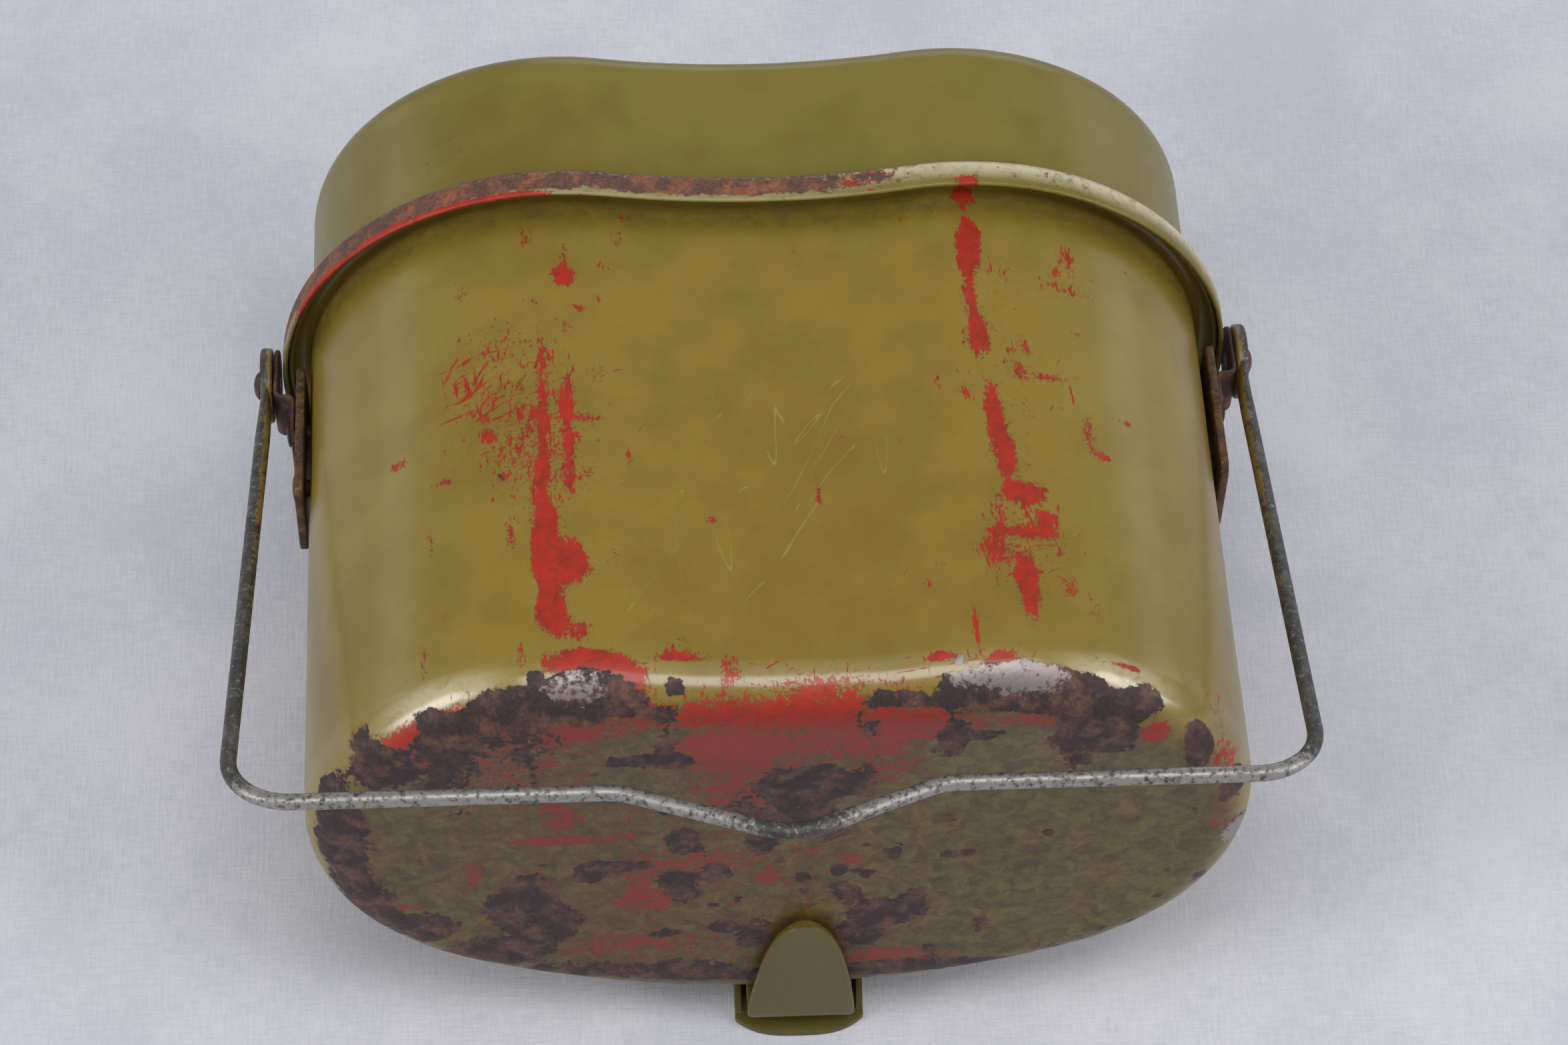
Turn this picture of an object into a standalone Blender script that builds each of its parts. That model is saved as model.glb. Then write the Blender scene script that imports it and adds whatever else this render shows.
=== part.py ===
"""Kidney-shaped steel mess kit: pot, deep pan lid, wire bail and hinged lid handle with a hook.

The kit lies on its convex back, as it does when it is put down with the handle latched.
X runs across the pot, +Y runs from the pot's bottom to the lid, +Z points up. Metres.
"""

import math

import bmesh
import bpy
from mathutils import Matrix, Vector

# Outline of pot and lid, seen along Y: two end arcs, a convex back and a shallow front dip.
KIT_WIDTH = 0.165
END_RADIUS = 0.0468
BACK_RADIUS = 0.1329
DIP_RADIUS = 0.1573
BACK_STEPS = 7
END_STEPS = 22
DIP_STEPS = 5

# Sheet and clearances.
SHEET = 0.0009
GAP = 0.0003

# Pot: a drawn cup whose mouth is curled outwards.
POT_HEIGHT = 0.11005
POT_CORNER = 0.009
CURL_RADIUS = 0.0021
CURL_LIP = 0.0016

# Lid: a deep pan with an outward-stepped skirt that covers the pot's curl.
LID_DEPTH = 0.0342
LID_CORNER = 0.007
SHOULDER_RISE = 0.00135
SKIRT_HEIGHT = 0.0070
SKIRT_STEP = 0.0055
SHOULDER_RADIUS = 0.0034
NECK_RADIUS = 0.002

# Ears: a plate on each side of the pot and a bracket that stands off it.
EAR_PLATE_GAP = 0.0006
EAR_PLATE_THICK = 0.0016
EAR_PLATE_HALF = 0.0095
EAR_PLATE_TOP_DROP = 0.0104
EAR_PLATE_LENGTH = 0.0298
EAR_PLATE_ROUND = 0.003
BRACKET_THICK = 0.0009
BRACKET_HALF = 0.006
BRACKET_FOOT_DROP = 0.0150
BRACKET_WEB_DROP = 0.0069
BRACKET_BEND = 0.0013
EAR_RIVET_RISE = 0.0083
EAR_RIVET_SHANK = 0.0016
EAR_RIVET_HEAD = 0.0025
EAR_RIVET_DOME = 0.0007
RIVET_DOME = 0.0012

# Bail: steel wire with flattened eyes and a notch in the middle of the bar.
PIVOT_DROP = 0.0079
WIRE_RADIUS = 0.0014
BAIL_REACH = 0.0135
BAIL_SPREAD = 0.0091
BAIL_SHIFT_AT_BAR = -0.0020
BAIL_CORNER = 0.011
BAIL_NOTCH_DEPTH = 0.012
BAIL_NOTCH_HALF = 0.027
BAIL_NOTCH_SHIFT = -0.0012
BAIL_NOTCH_SKEW = 0.0015
BAIL_REST_DEG = 15.9
EYE_RADIUS = 0.007
EYE_THICK = 0.0022
EYE_NECK = 0.0042
STUD_RADIUS = 0.0016
STUD_HEAD = 0.0026

# Lid handle: a channel hinged on the lid, latched over the pot's bottom by a spring leaf.
HANDLE_X = 0.0045
PIN_RISE = 0.0114
PIN_DROP = 0.0048
PIN_RADIUS = 0.0015
PIN_HEAD = 0.0024
CHANNEL_HALF = 0.0118
CHANNEL_THICK = 0.0012
CHANNEL_DROP = SKIRT_STEP + 0.0032
CHANNEL_END = -0.0021
CHANNEL_END_SAG = 0.0040
CHANNEL_END_POWER = 3.2
CHANNEL_FLOOR_SHORT = 0.004
FLANGE_TOP = -0.0024
RING_RELIEF = SKIRT_STEP + 0.0006
LUG_RADIUS = 0.0024
LUG_GAP = 0.0007
HINGE_PLATE_THICK = 0.0012
HINGE_PLATE_HALF = 0.0185
HINGE_PLATE_RISE = 0.0029
HINGE_PLATE_HEIGHT = 0.0185
HINGE_RIVET_SIDE = 0.0153
HINGE_RIVET_SPREAD = 0.006
HINGE_RIVET_SHANK = 0.0013
HINGE_RIVET_HEAD = 0.0023

# Hook leaf inside the channel, ending in a rounded tongue.
LEAF_THICK = 0.0015
LEAF_HALF = 0.0097
LEAF_FOOT_END = 0.054
LEAF_RISE_START = 0.030
LEAF_RISE_END = 0.007
LEAF_TOP = -0.0018
LEAF_BEND = 0.0023
TONGUE_FACE = -0.0023
TONGUE_TIP = 0.0318
HOOK_RIVET_YS = (0.037, 0.048)
HOOK_RIVET_SHANK = 0.0015
HOOK_RIVET_HEAD = 0.0027

SEGMENTS = 16

SHOULDER_TOP = POT_HEIGHT + SHOULDER_RISE
LID_TOP = SHOULDER_TOP + LID_DEPTH
PIVOT_Y = SHOULDER_TOP - PIVOT_DROP
EAR_PLATE_HIGH = SHOULDER_TOP - EAR_PLATE_TOP_DROP
EAR_PLATE_LOW = EAR_PLATE_HIGH - EAR_PLATE_LENGTH
EAR_RIVET_LOW = EAR_PLATE_LOW + EAR_RIVET_RISE
BRACKET_FOOT_LOW = PIVOT_Y - BRACKET_FOOT_DROP
BRACKET_WEB = PIVOT_Y - BRACKET_WEB_DROP
BAIL_LENGTH = PIVOT_Y + BAIL_REACH
BAIL_HALF_AT_BAR = KIT_WIDTH / 2 + BAIL_SPREAD
PIN_Y = SHOULDER_TOP + PIN_RISE
CHANNEL_FLOOR_STOP = PIN_Y - CHANNEL_FLOOR_SHORT
HINGE_PLATE_LOW = SHOULDER_TOP + HINGE_PLATE_RISE
HINGE_PLATE_HIGH = HINGE_PLATE_LOW + HINGE_PLATE_HEIGHT

END_X = KIT_WIDTH / 2 - END_RADIUS
BACK_CENTRE_Z = BACK_RADIUS
END_Z = BACK_RADIUS - math.sqrt((BACK_RADIUS - END_RADIUS) ** 2 - END_X**2)
DIP_CENTRE_Z = END_Z + math.sqrt((DIP_RADIUS + END_RADIUS) ** 2 - END_X**2)

PLATE_FACE = KIT_WIDTH / 2 + EAR_PLATE_GAP + EAR_PLATE_THICK
FOOT_FACE = PLATE_FACE + GAP + BRACKET_THICK
BRACKET_OUT = KIT_WIDTH / 2 + SKIRT_STEP + GAP + BRACKET_THICK
EYE_X = BRACKET_OUT + GAP + EYE_THICK / 2
EYE_OUT = EYE_X + EYE_THICK / 2


def clear_scene():
    for old in list(bpy.data.objects):
        bpy.data.objects.remove(old)


def make_material(name, colour, metallic, roughness):
    material = bpy.data.materials.new(name)
    material.use_nodes = True
    shader = material.node_tree.nodes["Principled BSDF"]
    shader.inputs["Base Color"].default_value = (*colour, 1.0)
    shader.inputs["Metallic"].default_value = metallic
    shader.inputs["Roughness"].default_value = roughness
    return material


def pot_paint():
    return make_material("pot_olive_paint", (0.20, 0.16, 0.035), 0.0, 0.42)


def lid_paint():
    return make_material("lid_olive_paint", (0.21, 0.18, 0.05), 0.0, 0.42)


def handle_paint():
    return make_material("handle_olive_paint", (0.16, 0.14, 0.03), 0.0, 0.5)


def rusty_steel():
    return make_material("ear_rusty_steel", (0.07, 0.035, 0.022), 0.3, 0.7)


def rivet_steel():
    return make_material("rivet_dull_steel", (0.11, 0.08, 0.05), 0.5, 0.6)


def wire_steel():
    return make_material("bail_grey_steel", (0.22, 0.22, 0.21), 0.8, 0.5)


def pin_steel():
    return make_material("pin_steel", (0.25, 0.24, 0.22), 0.9, 0.45)


def finish_mesh(name, bm, origin, material):
    """Turn bm, built in kit coordinates, into an object whose origin is at origin."""
    bmesh.ops.recalc_face_normals(bm, faces=bm.faces)
    bmesh.ops.translate(bm, verts=bm.verts, vec=-Vector(origin))
    mesh = bpy.data.meshes.new(name)
    bm.to_mesh(mesh)
    bm.free()
    obj = bpy.data.objects.new(name, mesh)
    obj.location = origin
    bpy.context.scene.collection.objects.link(obj)
    if material is not None:
        mesh.materials.append(material)
    mesh.shade_smooth()
    mesh.set_sharp_from_angle(angle=math.radians(35))
    return obj


def make_helper(name, bm):
    helper = finish_mesh(name, bm, (0, 0, 0), None)
    helper.hide_render = True
    helper.display_type = "WIRE"
    return helper


def add_boolean(obj, other, operation):
    modifier = obj.modifiers.new(operation.title() + "_" + other.name, "BOOLEAN")
    modifier.operation = operation
    modifier.solver = "EXACT"
    modifier.object = other
    return modifier


def arc_points(centre, radius, start_deg, end_deg, steps):
    """Points on an arc, both ends included."""
    points = []
    for i in range(steps + 1):
        angle = math.radians(start_deg + (end_deg - start_deg) * i / steps)
        x = centre[0] + radius * math.cos(angle)
        y = centre[1] + radius * math.sin(angle)
        points.append((x, y))
    return points


def outline_half():
    """Points and outward normals of the half with x >= 0, from the back's middle to the dip's."""
    points = []
    back_turn = math.atan2(END_X, BACK_CENTRE_Z - END_Z)
    dip_turn = math.atan2(END_X, DIP_CENTRE_Z - END_Z)
    for i in range(BACK_STEPS):
        turn = back_turn * i / BACK_STEPS
        normal = (math.sin(turn), -math.cos(turn))
        points.append((BACK_RADIUS * normal[0], BACK_CENTRE_Z + BACK_RADIUS * normal[1], *normal))
    for i in range(END_STEPS):
        turn = back_turn + (math.pi + dip_turn - back_turn) * i / END_STEPS
        normal = (math.sin(turn), -math.cos(turn))
        points.append((END_X + END_RADIUS * normal[0], END_Z + END_RADIUS * normal[1], *normal))
    for i in range(DIP_STEPS + 1):
        turn = dip_turn * (1 - i / DIP_STEPS)
        reach = (math.sin(turn), -math.cos(turn))
        x = DIP_RADIUS * reach[0]
        z = DIP_CENTRE_Z + DIP_RADIUS * reach[1]
        points.append((x, z, -reach[0], -reach[1]))
    return points


def outline(offset):
    """The closed kidney outline as (x, z), moved outwards by offset."""
    half = outline_half()
    other = [(-x, z, -nx, nz) for x, z, nx, nz in reversed(half[1:-1])]
    return [(x + nx * offset, z + nz * offset) for x, z, nx, nz in half + other]


def swept_shell(contour):
    """A closed body from (offset, y) contour points, capped by its first and last loop."""
    bm = bmesh.new()
    loops = []
    for offset, y in contour:
        loops.append([bm.verts.new((x, y, z)) for x, z in outline(offset)])
    for lower, upper in zip(loops, loops[1:]):
        for i in range(len(lower)):
            j = (i + 1) % len(lower)
            bm.faces.new((lower[i], lower[j], upper[j], upper[i]))
    bm.faces.new(loops[0])
    bm.faces.new(loops[-1])
    return bm


def add_lathe(bm, profile, matrix):
    """Add a body turned about local Z from (radius, z) points; both ends lie on the axis."""
    rings = []
    for radius, z in profile[1:-1]:
        ring = []
        for i in range(SEGMENTS):
            angle = 2 * math.pi * i / SEGMENTS
            point = Vector((radius * math.cos(angle), radius * math.sin(angle), z))
            ring.append(bm.verts.new(matrix @ point))
        rings.append(ring)
    first = bm.verts.new(matrix @ Vector((0, 0, profile[0][1])))
    last = bm.verts.new(matrix @ Vector((0, 0, profile[-1][1])))
    for i in range(SEGMENTS):
        j = (i + 1) % SEGMENTS
        bm.faces.new((first, rings[0][i], rings[0][j]))
        bm.faces.new((last, rings[-1][j], rings[-1][i]))
        for low, high in zip(rings, rings[1:]):
            bm.faces.new((low[i], low[j], high[j], high[i]))


def add_cylinder(bm, start, end, radius):
    """Add a plain cylinder from start to end."""
    start = Vector(start)
    along = Vector(end) - start
    matrix = Matrix.Translation(start) @ along.to_track_quat("Z", "Y").to_matrix().to_4x4()
    length = along.length
    add_lathe(bm, [(0, 0), (radius, 0), (radius, length), (0, length)], matrix)


def place_along(point, direction):
    """Matrix whose local Z runs along direction from point."""
    turn = Vector(direction).to_track_quat("Z", "Y").to_matrix().to_4x4()
    return Matrix.Translation(Vector(point)) @ turn


def rivet_profile(shank, head, dome, grip, tail):
    """Turned rivet: domed head above z = 0, shank of length grip below, upset tail below that."""
    profile = [(0, dome)]
    for angle in (60, 30):
        turn = math.radians(angle)
        profile.append((head * math.cos(turn), dome * math.sin(turn)))
    profile += [(head, 0), (shank, 0), (shank, -grip)]
    if tail > 0:
        profile += [(tail, -grip), (tail * 0.85, -grip - 0.0008)]
        profile.append((0, -grip - 0.0008))
    else:
        profile.append((0, -grip))
    return profile


def arc_plate(centre, radius, middle, half, low, high, corners, inner, outer):
    """A curved plate lying on an arc about a line along Y.

    middle is the direction of its middle, as an angle from -Z towards +X; half is half its
    width along the arc; corners are the rounding radii at its low and high ends.
    """
    bm = bmesh.new()
    low_round, high_round = corners
    columns = [half * i / 4 for i in range(-4, 5)]
    for corner in corners:
        for angle in (22, 45, 68):
            reach = half - corner * (1 - math.sin(math.radians(angle)))
            columns += [reach, -reach]
    rows = []
    for s in sorted(set(round(c, 7) for c in columns)):
        turn = middle + s / radius
        span = [low + lost(s, half, low_round), high - lost(s, half, high_round)]
        row = []
        for distance in (inner, outer):
            x = centre[0] + (radius + distance) * math.sin(turn)
            z = centre[1] - (radius + distance) * math.cos(turn)
            row.append([bm.verts.new((x, y, z)) for y in span])
        rows.append(row)
    for a, b in zip(rows, rows[1:]):
        bm.faces.new((a[0][0], a[0][1], b[0][1], b[0][0]))
        bm.faces.new((a[1][0], b[1][0], b[1][1], a[1][1]))
        bm.faces.new((a[0][0], b[0][0], b[1][0], a[1][0]))
        bm.faces.new((a[0][1], a[1][1], b[1][1], b[0][1]))
    for row in (rows[0], rows[-1]):
        bm.faces.new((row[0][0], row[0][1], row[1][1], row[1][0]))
    return bm


def lost(s, half, corner):
    """How far a rounded corner has drawn the end in at distance s from the plate's middle."""
    into = abs(s) - (half - corner)
    if into <= 0:
        return 0.0
    return corner - math.sqrt(max(corner**2 - into**2, 0.0))


def rounded_path(points, radius, steps):
    """A polyline with each inner corner replaced by an arc of the given radius."""
    path = [Vector(points[0])]
    for before, corner, after in zip(points, points[1:], points[2:]):
        before, corner, after = Vector(before), Vector(corner), Vector(after)
        back = (before - corner).normalized()
        ahead = (after - corner).normalized()
        half_angle = back.angle(ahead) / 2
        centre = corner + (back + ahead).normalized() * (radius / math.sin(half_angle))
        start = (corner + back * (radius / math.tan(half_angle)) - centre).normalized()
        end = (corner + ahead * (radius / math.tan(half_angle)) - centre).normalized()
        for i in range(steps + 1):
            path.append(centre + start.slerp(end, i / steps) * radius)
    path.append(Vector(points[-1]))
    return path


def bent_strip(path, halves, thick, to_space):
    """A strip of sheet that follows path; halves holds its half width at each point.

    to_space(u, v, w) gives the 3-D point for path coordinates u, v and w across the strip.
    """
    bm = bmesh.new()
    sections = []
    for i, (point, half) in enumerate(zip(path, halves)):
        before = path[max(i - 1, 0)]
        after = path[min(i + 1, len(path) - 1)]
        along = (after - before).normalized()
        side = Vector((-along.y, along.x)) * thick / 2
        corners = []
        for sign, width in ((1, half), (1, -half), (-1, -half), (-1, half)):
            spot = point + side * sign
            corners.append(bm.verts.new(to_space(spot.x, spot.y, width)))
        sections.append(corners)
    for a, b in zip(sections, sections[1:]):
        for k in range(4):
            m = (k + 1) % 4
            bm.faces.new((a[k], a[m], b[m], b[k]))
    bm.faces.new(sections[0])
    bm.faces.new(sections[-1])
    return bm


def rounded_rectangle(low, high, half, low_round, high_round):
    """Corner points of a rectangle from low to high along u and half each way along v."""
    points = arc_points((low + low_round, half - low_round), low_round, 180, 90, 5)
    points += arc_points((high - high_round, half - high_round), high_round, 90, 0, 5)
    points += arc_points((high - high_round, high_round - half), high_round, 0, -90, 5)
    points += arc_points((low + low_round, low_round - half), low_round, -90, -180, 5)
    return points


def extruded(points, to_space, start, end):
    """A prism: the polygon points carried from start to end along the third direction."""
    bm = bmesh.new()
    near = [bm.verts.new(to_space(u, v, start)) for u, v in points]
    far = [bm.verts.new(to_space(u, v, end)) for u, v in points]
    bm.faces.new(near)
    bm.faces.new(far)
    for i in range(len(points)):
        j = (i + 1) % len(points)
        bm.faces.new((near[i], near[j], far[j], far[i]))
    return bm


def pot_contour():
    """Outer side from the bottom up, over the curled mouth and down the inner side."""
    inner_curl = CURL_RADIUS - SHEET / 2
    outer_curl = CURL_RADIUS + SHEET / 2
    curl_y = POT_HEIGHT - outer_curl
    contour = arc_points((-POT_CORNER, POT_CORNER), POT_CORNER, -90, 0, 5)
    contour += arc_points((inner_curl, curl_y), inner_curl, 180, 0, 4)
    contour.append((2 * inner_curl, curl_y - CURL_LIP))
    contour.append((2 * inner_curl + SHEET, curl_y - CURL_LIP))
    contour += arc_points((inner_curl, curl_y), outer_curl, 0, 180, 5)
    contour += arc_points((-POT_CORNER, POT_CORNER), POT_CORNER - SHEET, 0, -90, 4)
    return contour


def make_pot():
    pot = finish_mesh("pot_body", swept_shell(pot_contour()), (0, 0, 0), pot_paint())
    holes = bmesh.new()
    for side in (-1, 1):
        for y in (EAR_RIVET_LOW, rivet_high_y()):
            start = (side * (KIT_WIDTH / 2 - 0.006), y, END_Z)
            end = (side * (KIT_WIDTH / 2 + 0.003), y, END_Z)
            add_cylinder(holes, start, end, EAR_RIVET_SHANK + GAP)
    add_boolean(pot, make_helper("pot_hole_cutter", holes), "DIFFERENCE")
    return pot


def rivet_high_y():
    return (BRACKET_FOOT_LOW + BRACKET_WEB - BRACKET_THICK) / 2


def lid_contour():
    """Outer side from the top down over the shoulder and skirt, then up the inner side."""
    top_centre = (-LID_CORNER, LID_TOP - LID_CORNER)
    neck = (NECK_RADIUS, SHOULDER_TOP + NECK_RADIUS)
    shoulder = (SKIRT_STEP - SHOULDER_RADIUS, SHOULDER_TOP - SHOULDER_RADIUS)
    low = SHOULDER_TOP - SKIRT_HEIGHT
    contour = arc_points(top_centre, LID_CORNER, 90, 0, 4)
    contour += arc_points(neck, NECK_RADIUS, 180, 270, 3)
    contour += arc_points(shoulder, SHOULDER_RADIUS, 90, 0, 5)
    contour += [(SKIRT_STEP, low + 0.0004), (SKIRT_STEP - 0.0003, low)]
    contour += [(SKIRT_STEP - SHEET, low)]
    contour += arc_points(shoulder, SHOULDER_RADIUS - SHEET, 0, 90, 4)
    contour += arc_points(neck, NECK_RADIUS + SHEET, 270, 180, 2)
    contour += arc_points(top_centre, LID_CORNER - SHEET, 0, 90, 3)
    return contour


def hinge_rivet_places():
    """(angle on the back arc, y) of each hinge rivet."""
    places = []
    middle = math.asin(HANDLE_X / BACK_RADIUS)
    for side in (-1, 1):
        for row in (-1, 1):
            turn = middle + side * HINGE_RIVET_SIDE / BACK_RADIUS
            places.append((turn, PIN_Y + row * HINGE_RIVET_SPREAD))
    return places


def back_point(turn, y, offset):
    reach = BACK_RADIUS + offset
    return Vector((reach * math.sin(turn), y, BACK_CENTRE_Z - reach * math.cos(turn)))


def make_lid():
    lid = finish_mesh("lid_pan", swept_shell(lid_contour()), (0, 0, 0), lid_paint())
    holes = bmesh.new()
    for turn, y in hinge_rivet_places():
        start, end = back_point(turn, y, -0.005), back_point(turn, y, 0.004)
        add_cylinder(holes, start, end, HINGE_RIVET_SHANK + GAP)
    add_boolean(lid, make_helper("lid_hole_cutter", holes), "DIFFERENCE")
    return lid


def make_ear_plate(side, name, material):
    def to_space(u, v, w):
        return Vector((side * w, u, END_Z + v))

    rounds = (EAR_PLATE_ROUND, 0.002)
    points = rounded_rectangle(EAR_PLATE_LOW, EAR_PLATE_HIGH, EAR_PLATE_HALF, *rounds)
    bm = extruded(points, to_space, PLATE_FACE - EAR_PLATE_THICK, PLATE_FACE)
    plate = finish_mesh("ear_plate_" + name, bm, (0, 0, 0), material)
    holes = bmesh.new()
    for y in (EAR_RIVET_LOW, rivet_high_y()):
        start = (side * (KIT_WIDTH / 2 - 0.003), y, END_Z)
        end = (side * (KIT_WIDTH / 2 + 0.005), y, END_Z)
        add_cylinder(holes, start, end, EAR_RIVET_SHANK + GAP)
    add_boolean(plate, make_helper("ear_plate_cutter_" + name, holes), "DIFFERENCE")
    return plate


def bracket_path():
    """Middle line of the bent bracket in (x, y) and its half width at each point."""
    foot_x = FOOT_FACE - BRACKET_THICK / 2
    out_x = BRACKET_OUT - BRACKET_THICK / 2
    top = PIVOT_Y + BRACKET_HALF + 0.0008
    corners = [(foot_x, BRACKET_FOOT_LOW), (foot_x, BRACKET_WEB)]
    corners += [(out_x, BRACKET_WEB), (out_x, top - BRACKET_HALF)]
    path = rounded_path(corners, BRACKET_BEND, 4)
    halves = [BRACKET_HALF] * len(path)
    for angle in (15, 30, 45, 60, 72, 82):
        turn = math.radians(angle)
        path.append(Vector((out_x, top - BRACKET_HALF * (1 - math.sin(turn)))))
        halves.append(BRACKET_HALF * math.cos(turn))
    return path, halves


def make_ear_bracket(side, name, material):
    path, halves = bracket_path()

    def to_space(u, v, w):
        return Vector((side * u, v, END_Z + w))

    bm = bent_strip(path, halves, BRACKET_THICK, to_space)
    bracket = finish_mesh("ear_bracket_" + name, bm, (0, 0, 0), material)
    holes = bmesh.new()
    inner, outer = side * (BRACKET_OUT - 0.003), side * (BRACKET_OUT + 0.002)
    start, end = (inner, PIVOT_Y, END_Z), (outer, PIVOT_Y, END_Z)
    add_cylinder(holes, start, end, STUD_RADIUS + GAP)
    low_in, low_out = side * (FOOT_FACE - 0.002), side * (FOOT_FACE + 0.001)
    start, end = (low_in, rivet_high_y(), END_Z), (low_out, rivet_high_y(), END_Z)
    add_cylinder(holes, start, end, EAR_RIVET_SHANK + GAP)
    add_boolean(bracket, make_helper("ear_bracket_cutter_" + name, holes), "DIFFERENCE")
    return bracket


def make_ear_rivet(side, name, y, face, material):
    """A rivet whose head bears on the face at |x| = face."""
    grip = face + GAP - (KIT_WIDTH / 2 - SHEET - GAP)
    profile = rivet_profile(EAR_RIVET_SHANK, EAR_RIVET_HEAD, EAR_RIVET_DOME, grip, 0.0024)
    bm = bmesh.new()
    start = (side * (face + GAP), y, END_Z)
    add_lathe(bm, profile, place_along(start, (side, 0, 0)))
    return finish_mesh(name, bm, (0, 0, 0), material)


def make_stud(side, name, material):
    bm = bmesh.new()
    inner = BRACKET_OUT - BRACKET_THICK
    head = EYE_OUT + GAP
    profile = [(0, 0), (STUD_RADIUS, 0), (STUD_RADIUS, head - inner), (STUD_HEAD, head - inner)]
    for angle in (30, 60):
        turn = math.radians(angle)
        rise = head - inner + RIVET_DOME * math.sin(turn)
        profile.append((STUD_HEAD * math.cos(turn), rise))
    profile.append((0, head - inner + RIVET_DOME))
    start = (side * inner, PIVOT_Y, END_Z)
    add_lathe(bm, profile, place_along(start, (side, 0, 0)))
    return finish_mesh("bail_stud_" + name, bm, (0, 0, 0), material)


def bail_centre_line():
    """(x, s) of the wire from the left eye to the right eye; s is the distance from the axis."""
    notch_left = (BAIL_NOTCH_SHIFT - BAIL_NOTCH_HALF, BAIL_LENGTH)
    notch_low = (BAIL_NOTCH_SHIFT + BAIL_NOTCH_SKEW, BAIL_LENGTH + BAIL_NOTCH_DEPTH)
    notch_right = (BAIL_NOTCH_SHIFT + BAIL_NOTCH_HALF, BAIL_LENGTH)
    corner_left = (BAIL_SHIFT_AT_BAR - BAIL_HALF_AT_BAR, BAIL_LENGTH)
    corner_right = (BAIL_SHIFT_AT_BAR + BAIL_HALF_AT_BAR, BAIL_LENGTH)
    left = rounded_path([(-EYE_X, 0.0), corner_left, notch_left], BAIL_CORNER, 6)
    right = rounded_path([notch_right, corner_right, (EYE_X, 0.0)], BAIL_CORNER, 6)
    middle = rounded_path([left[-2], notch_left, notch_low, notch_right, right[1]], 0.012, 4)
    return neck_points(-1) + left[1:-1] + middle[1:-1] + right[1:-1] + neck_points(1)


def neck_points(side):
    """Points on an arm beside its eye, where the wire is still flattened."""
    lean = (BAIL_HALF_AT_BAR + side * BAIL_SHIFT_AT_BAR - EYE_X) / BAIL_LENGTH
    steps = (0.0028, 0.005, 0.008, 0.011, 0.015, 0.019)
    points = [Vector((side * (EYE_X + lean * s), s)) for s in steps]
    return points if side < 0 else points[::-1]


def wire_halves(s):
    """Half size of the wire across X and out of the bail's plane at distance s from the axis."""
    t = min(max((s - 0.005) / 0.012, 0.0), 1.0)
    t = t * t * (3 - 2 * t)
    thin = EYE_THICK / 2 - 0.0001
    return thin + (WIRE_RADIUS - thin) * t, EYE_NECK + (WIRE_RADIUS - EYE_NECK) * t


def bail_to_space(x, s, out):
    """Bail coordinates to kit coordinates; out points away from the bail's plane."""
    rest = math.radians(BAIL_REST_DEG)
    y = PIVOT_Y - s * math.cos(rest) + out * math.sin(rest)
    z = END_Z + s * math.sin(rest) + out * math.cos(rest)
    return Vector((x, y, z))


def bail_sweep():
    bm = bmesh.new()
    path = bail_centre_line()
    rings = []
    for i, point in enumerate(path):
        along = (path[min(i + 1, len(path) - 1)] - path[max(i - 1, 0)]).normalized()
        side = Vector((-along.y, along.x))
        across, out = wire_halves(point.y)
        ring = []
        for k in range(10):
            angle = 2 * math.pi * (k + 0.5) / 10
            spot = point + side * across * math.cos(angle)
            ring.append(bm.verts.new(bail_to_space(spot.x, spot.y, out * math.sin(angle))))
        rings.append(ring)
    for a, b in zip(rings, rings[1:]):
        for k in range(10):
            m = (k + 1) % 10
            bm.faces.new((a[k], a[m], b[m], b[k]))
    bm.faces.new(rings[0])
    bm.faces.new(rings[-1])
    return bm


def make_bail():
    origin = (0, PIVOT_Y, END_Z)
    bail = finish_mesh("bail_wire", bail_sweep(), origin, wire_steel())
    for side, name in ((-1, "left"), (1, "right")):
        eye = bmesh.new()
        inner, outer = side * (EYE_X - EYE_THICK / 2), side * EYE_OUT
        add_cylinder(eye, (inner, PIVOT_Y, END_Z), (outer, PIVOT_Y, END_Z), EYE_RADIUS)
        add_boolean(bail, make_helper("bail_eye_" + name, eye), "UNION")
    holes = bmesh.new()
    for side in (-1, 1):
        start = (side * (EYE_X - 0.003), PIVOT_Y, END_Z)
        end = (side * (EYE_X + 0.003), PIVOT_Y, END_Z)
        add_cylinder(holes, start, end, STUD_RADIUS + GAP)
    add_boolean(bail, make_helper("bail_eye_cutter", holes), "DIFFERENCE")
    return bail


def lug_points(x):
    """Side view in (y, z) of the hinge lug at x: a root in the plate, a round end about the pin."""
    wall = BACK_CENTRE_Z - math.sqrt((BACK_RADIUS + GAP) ** 2 - x**2)
    root = wall - HINGE_PLATE_THICK / 2
    points = [(PIN_Y + 0.004, root)]
    points += arc_points((PIN_Y, -PIN_DROP), LUG_RADIUS, 0, -180, 8)
    points.append((PIN_Y - 0.004, root))
    return points


def lug_to_space(u, v, w):
    return Vector((w, u, v))


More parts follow.
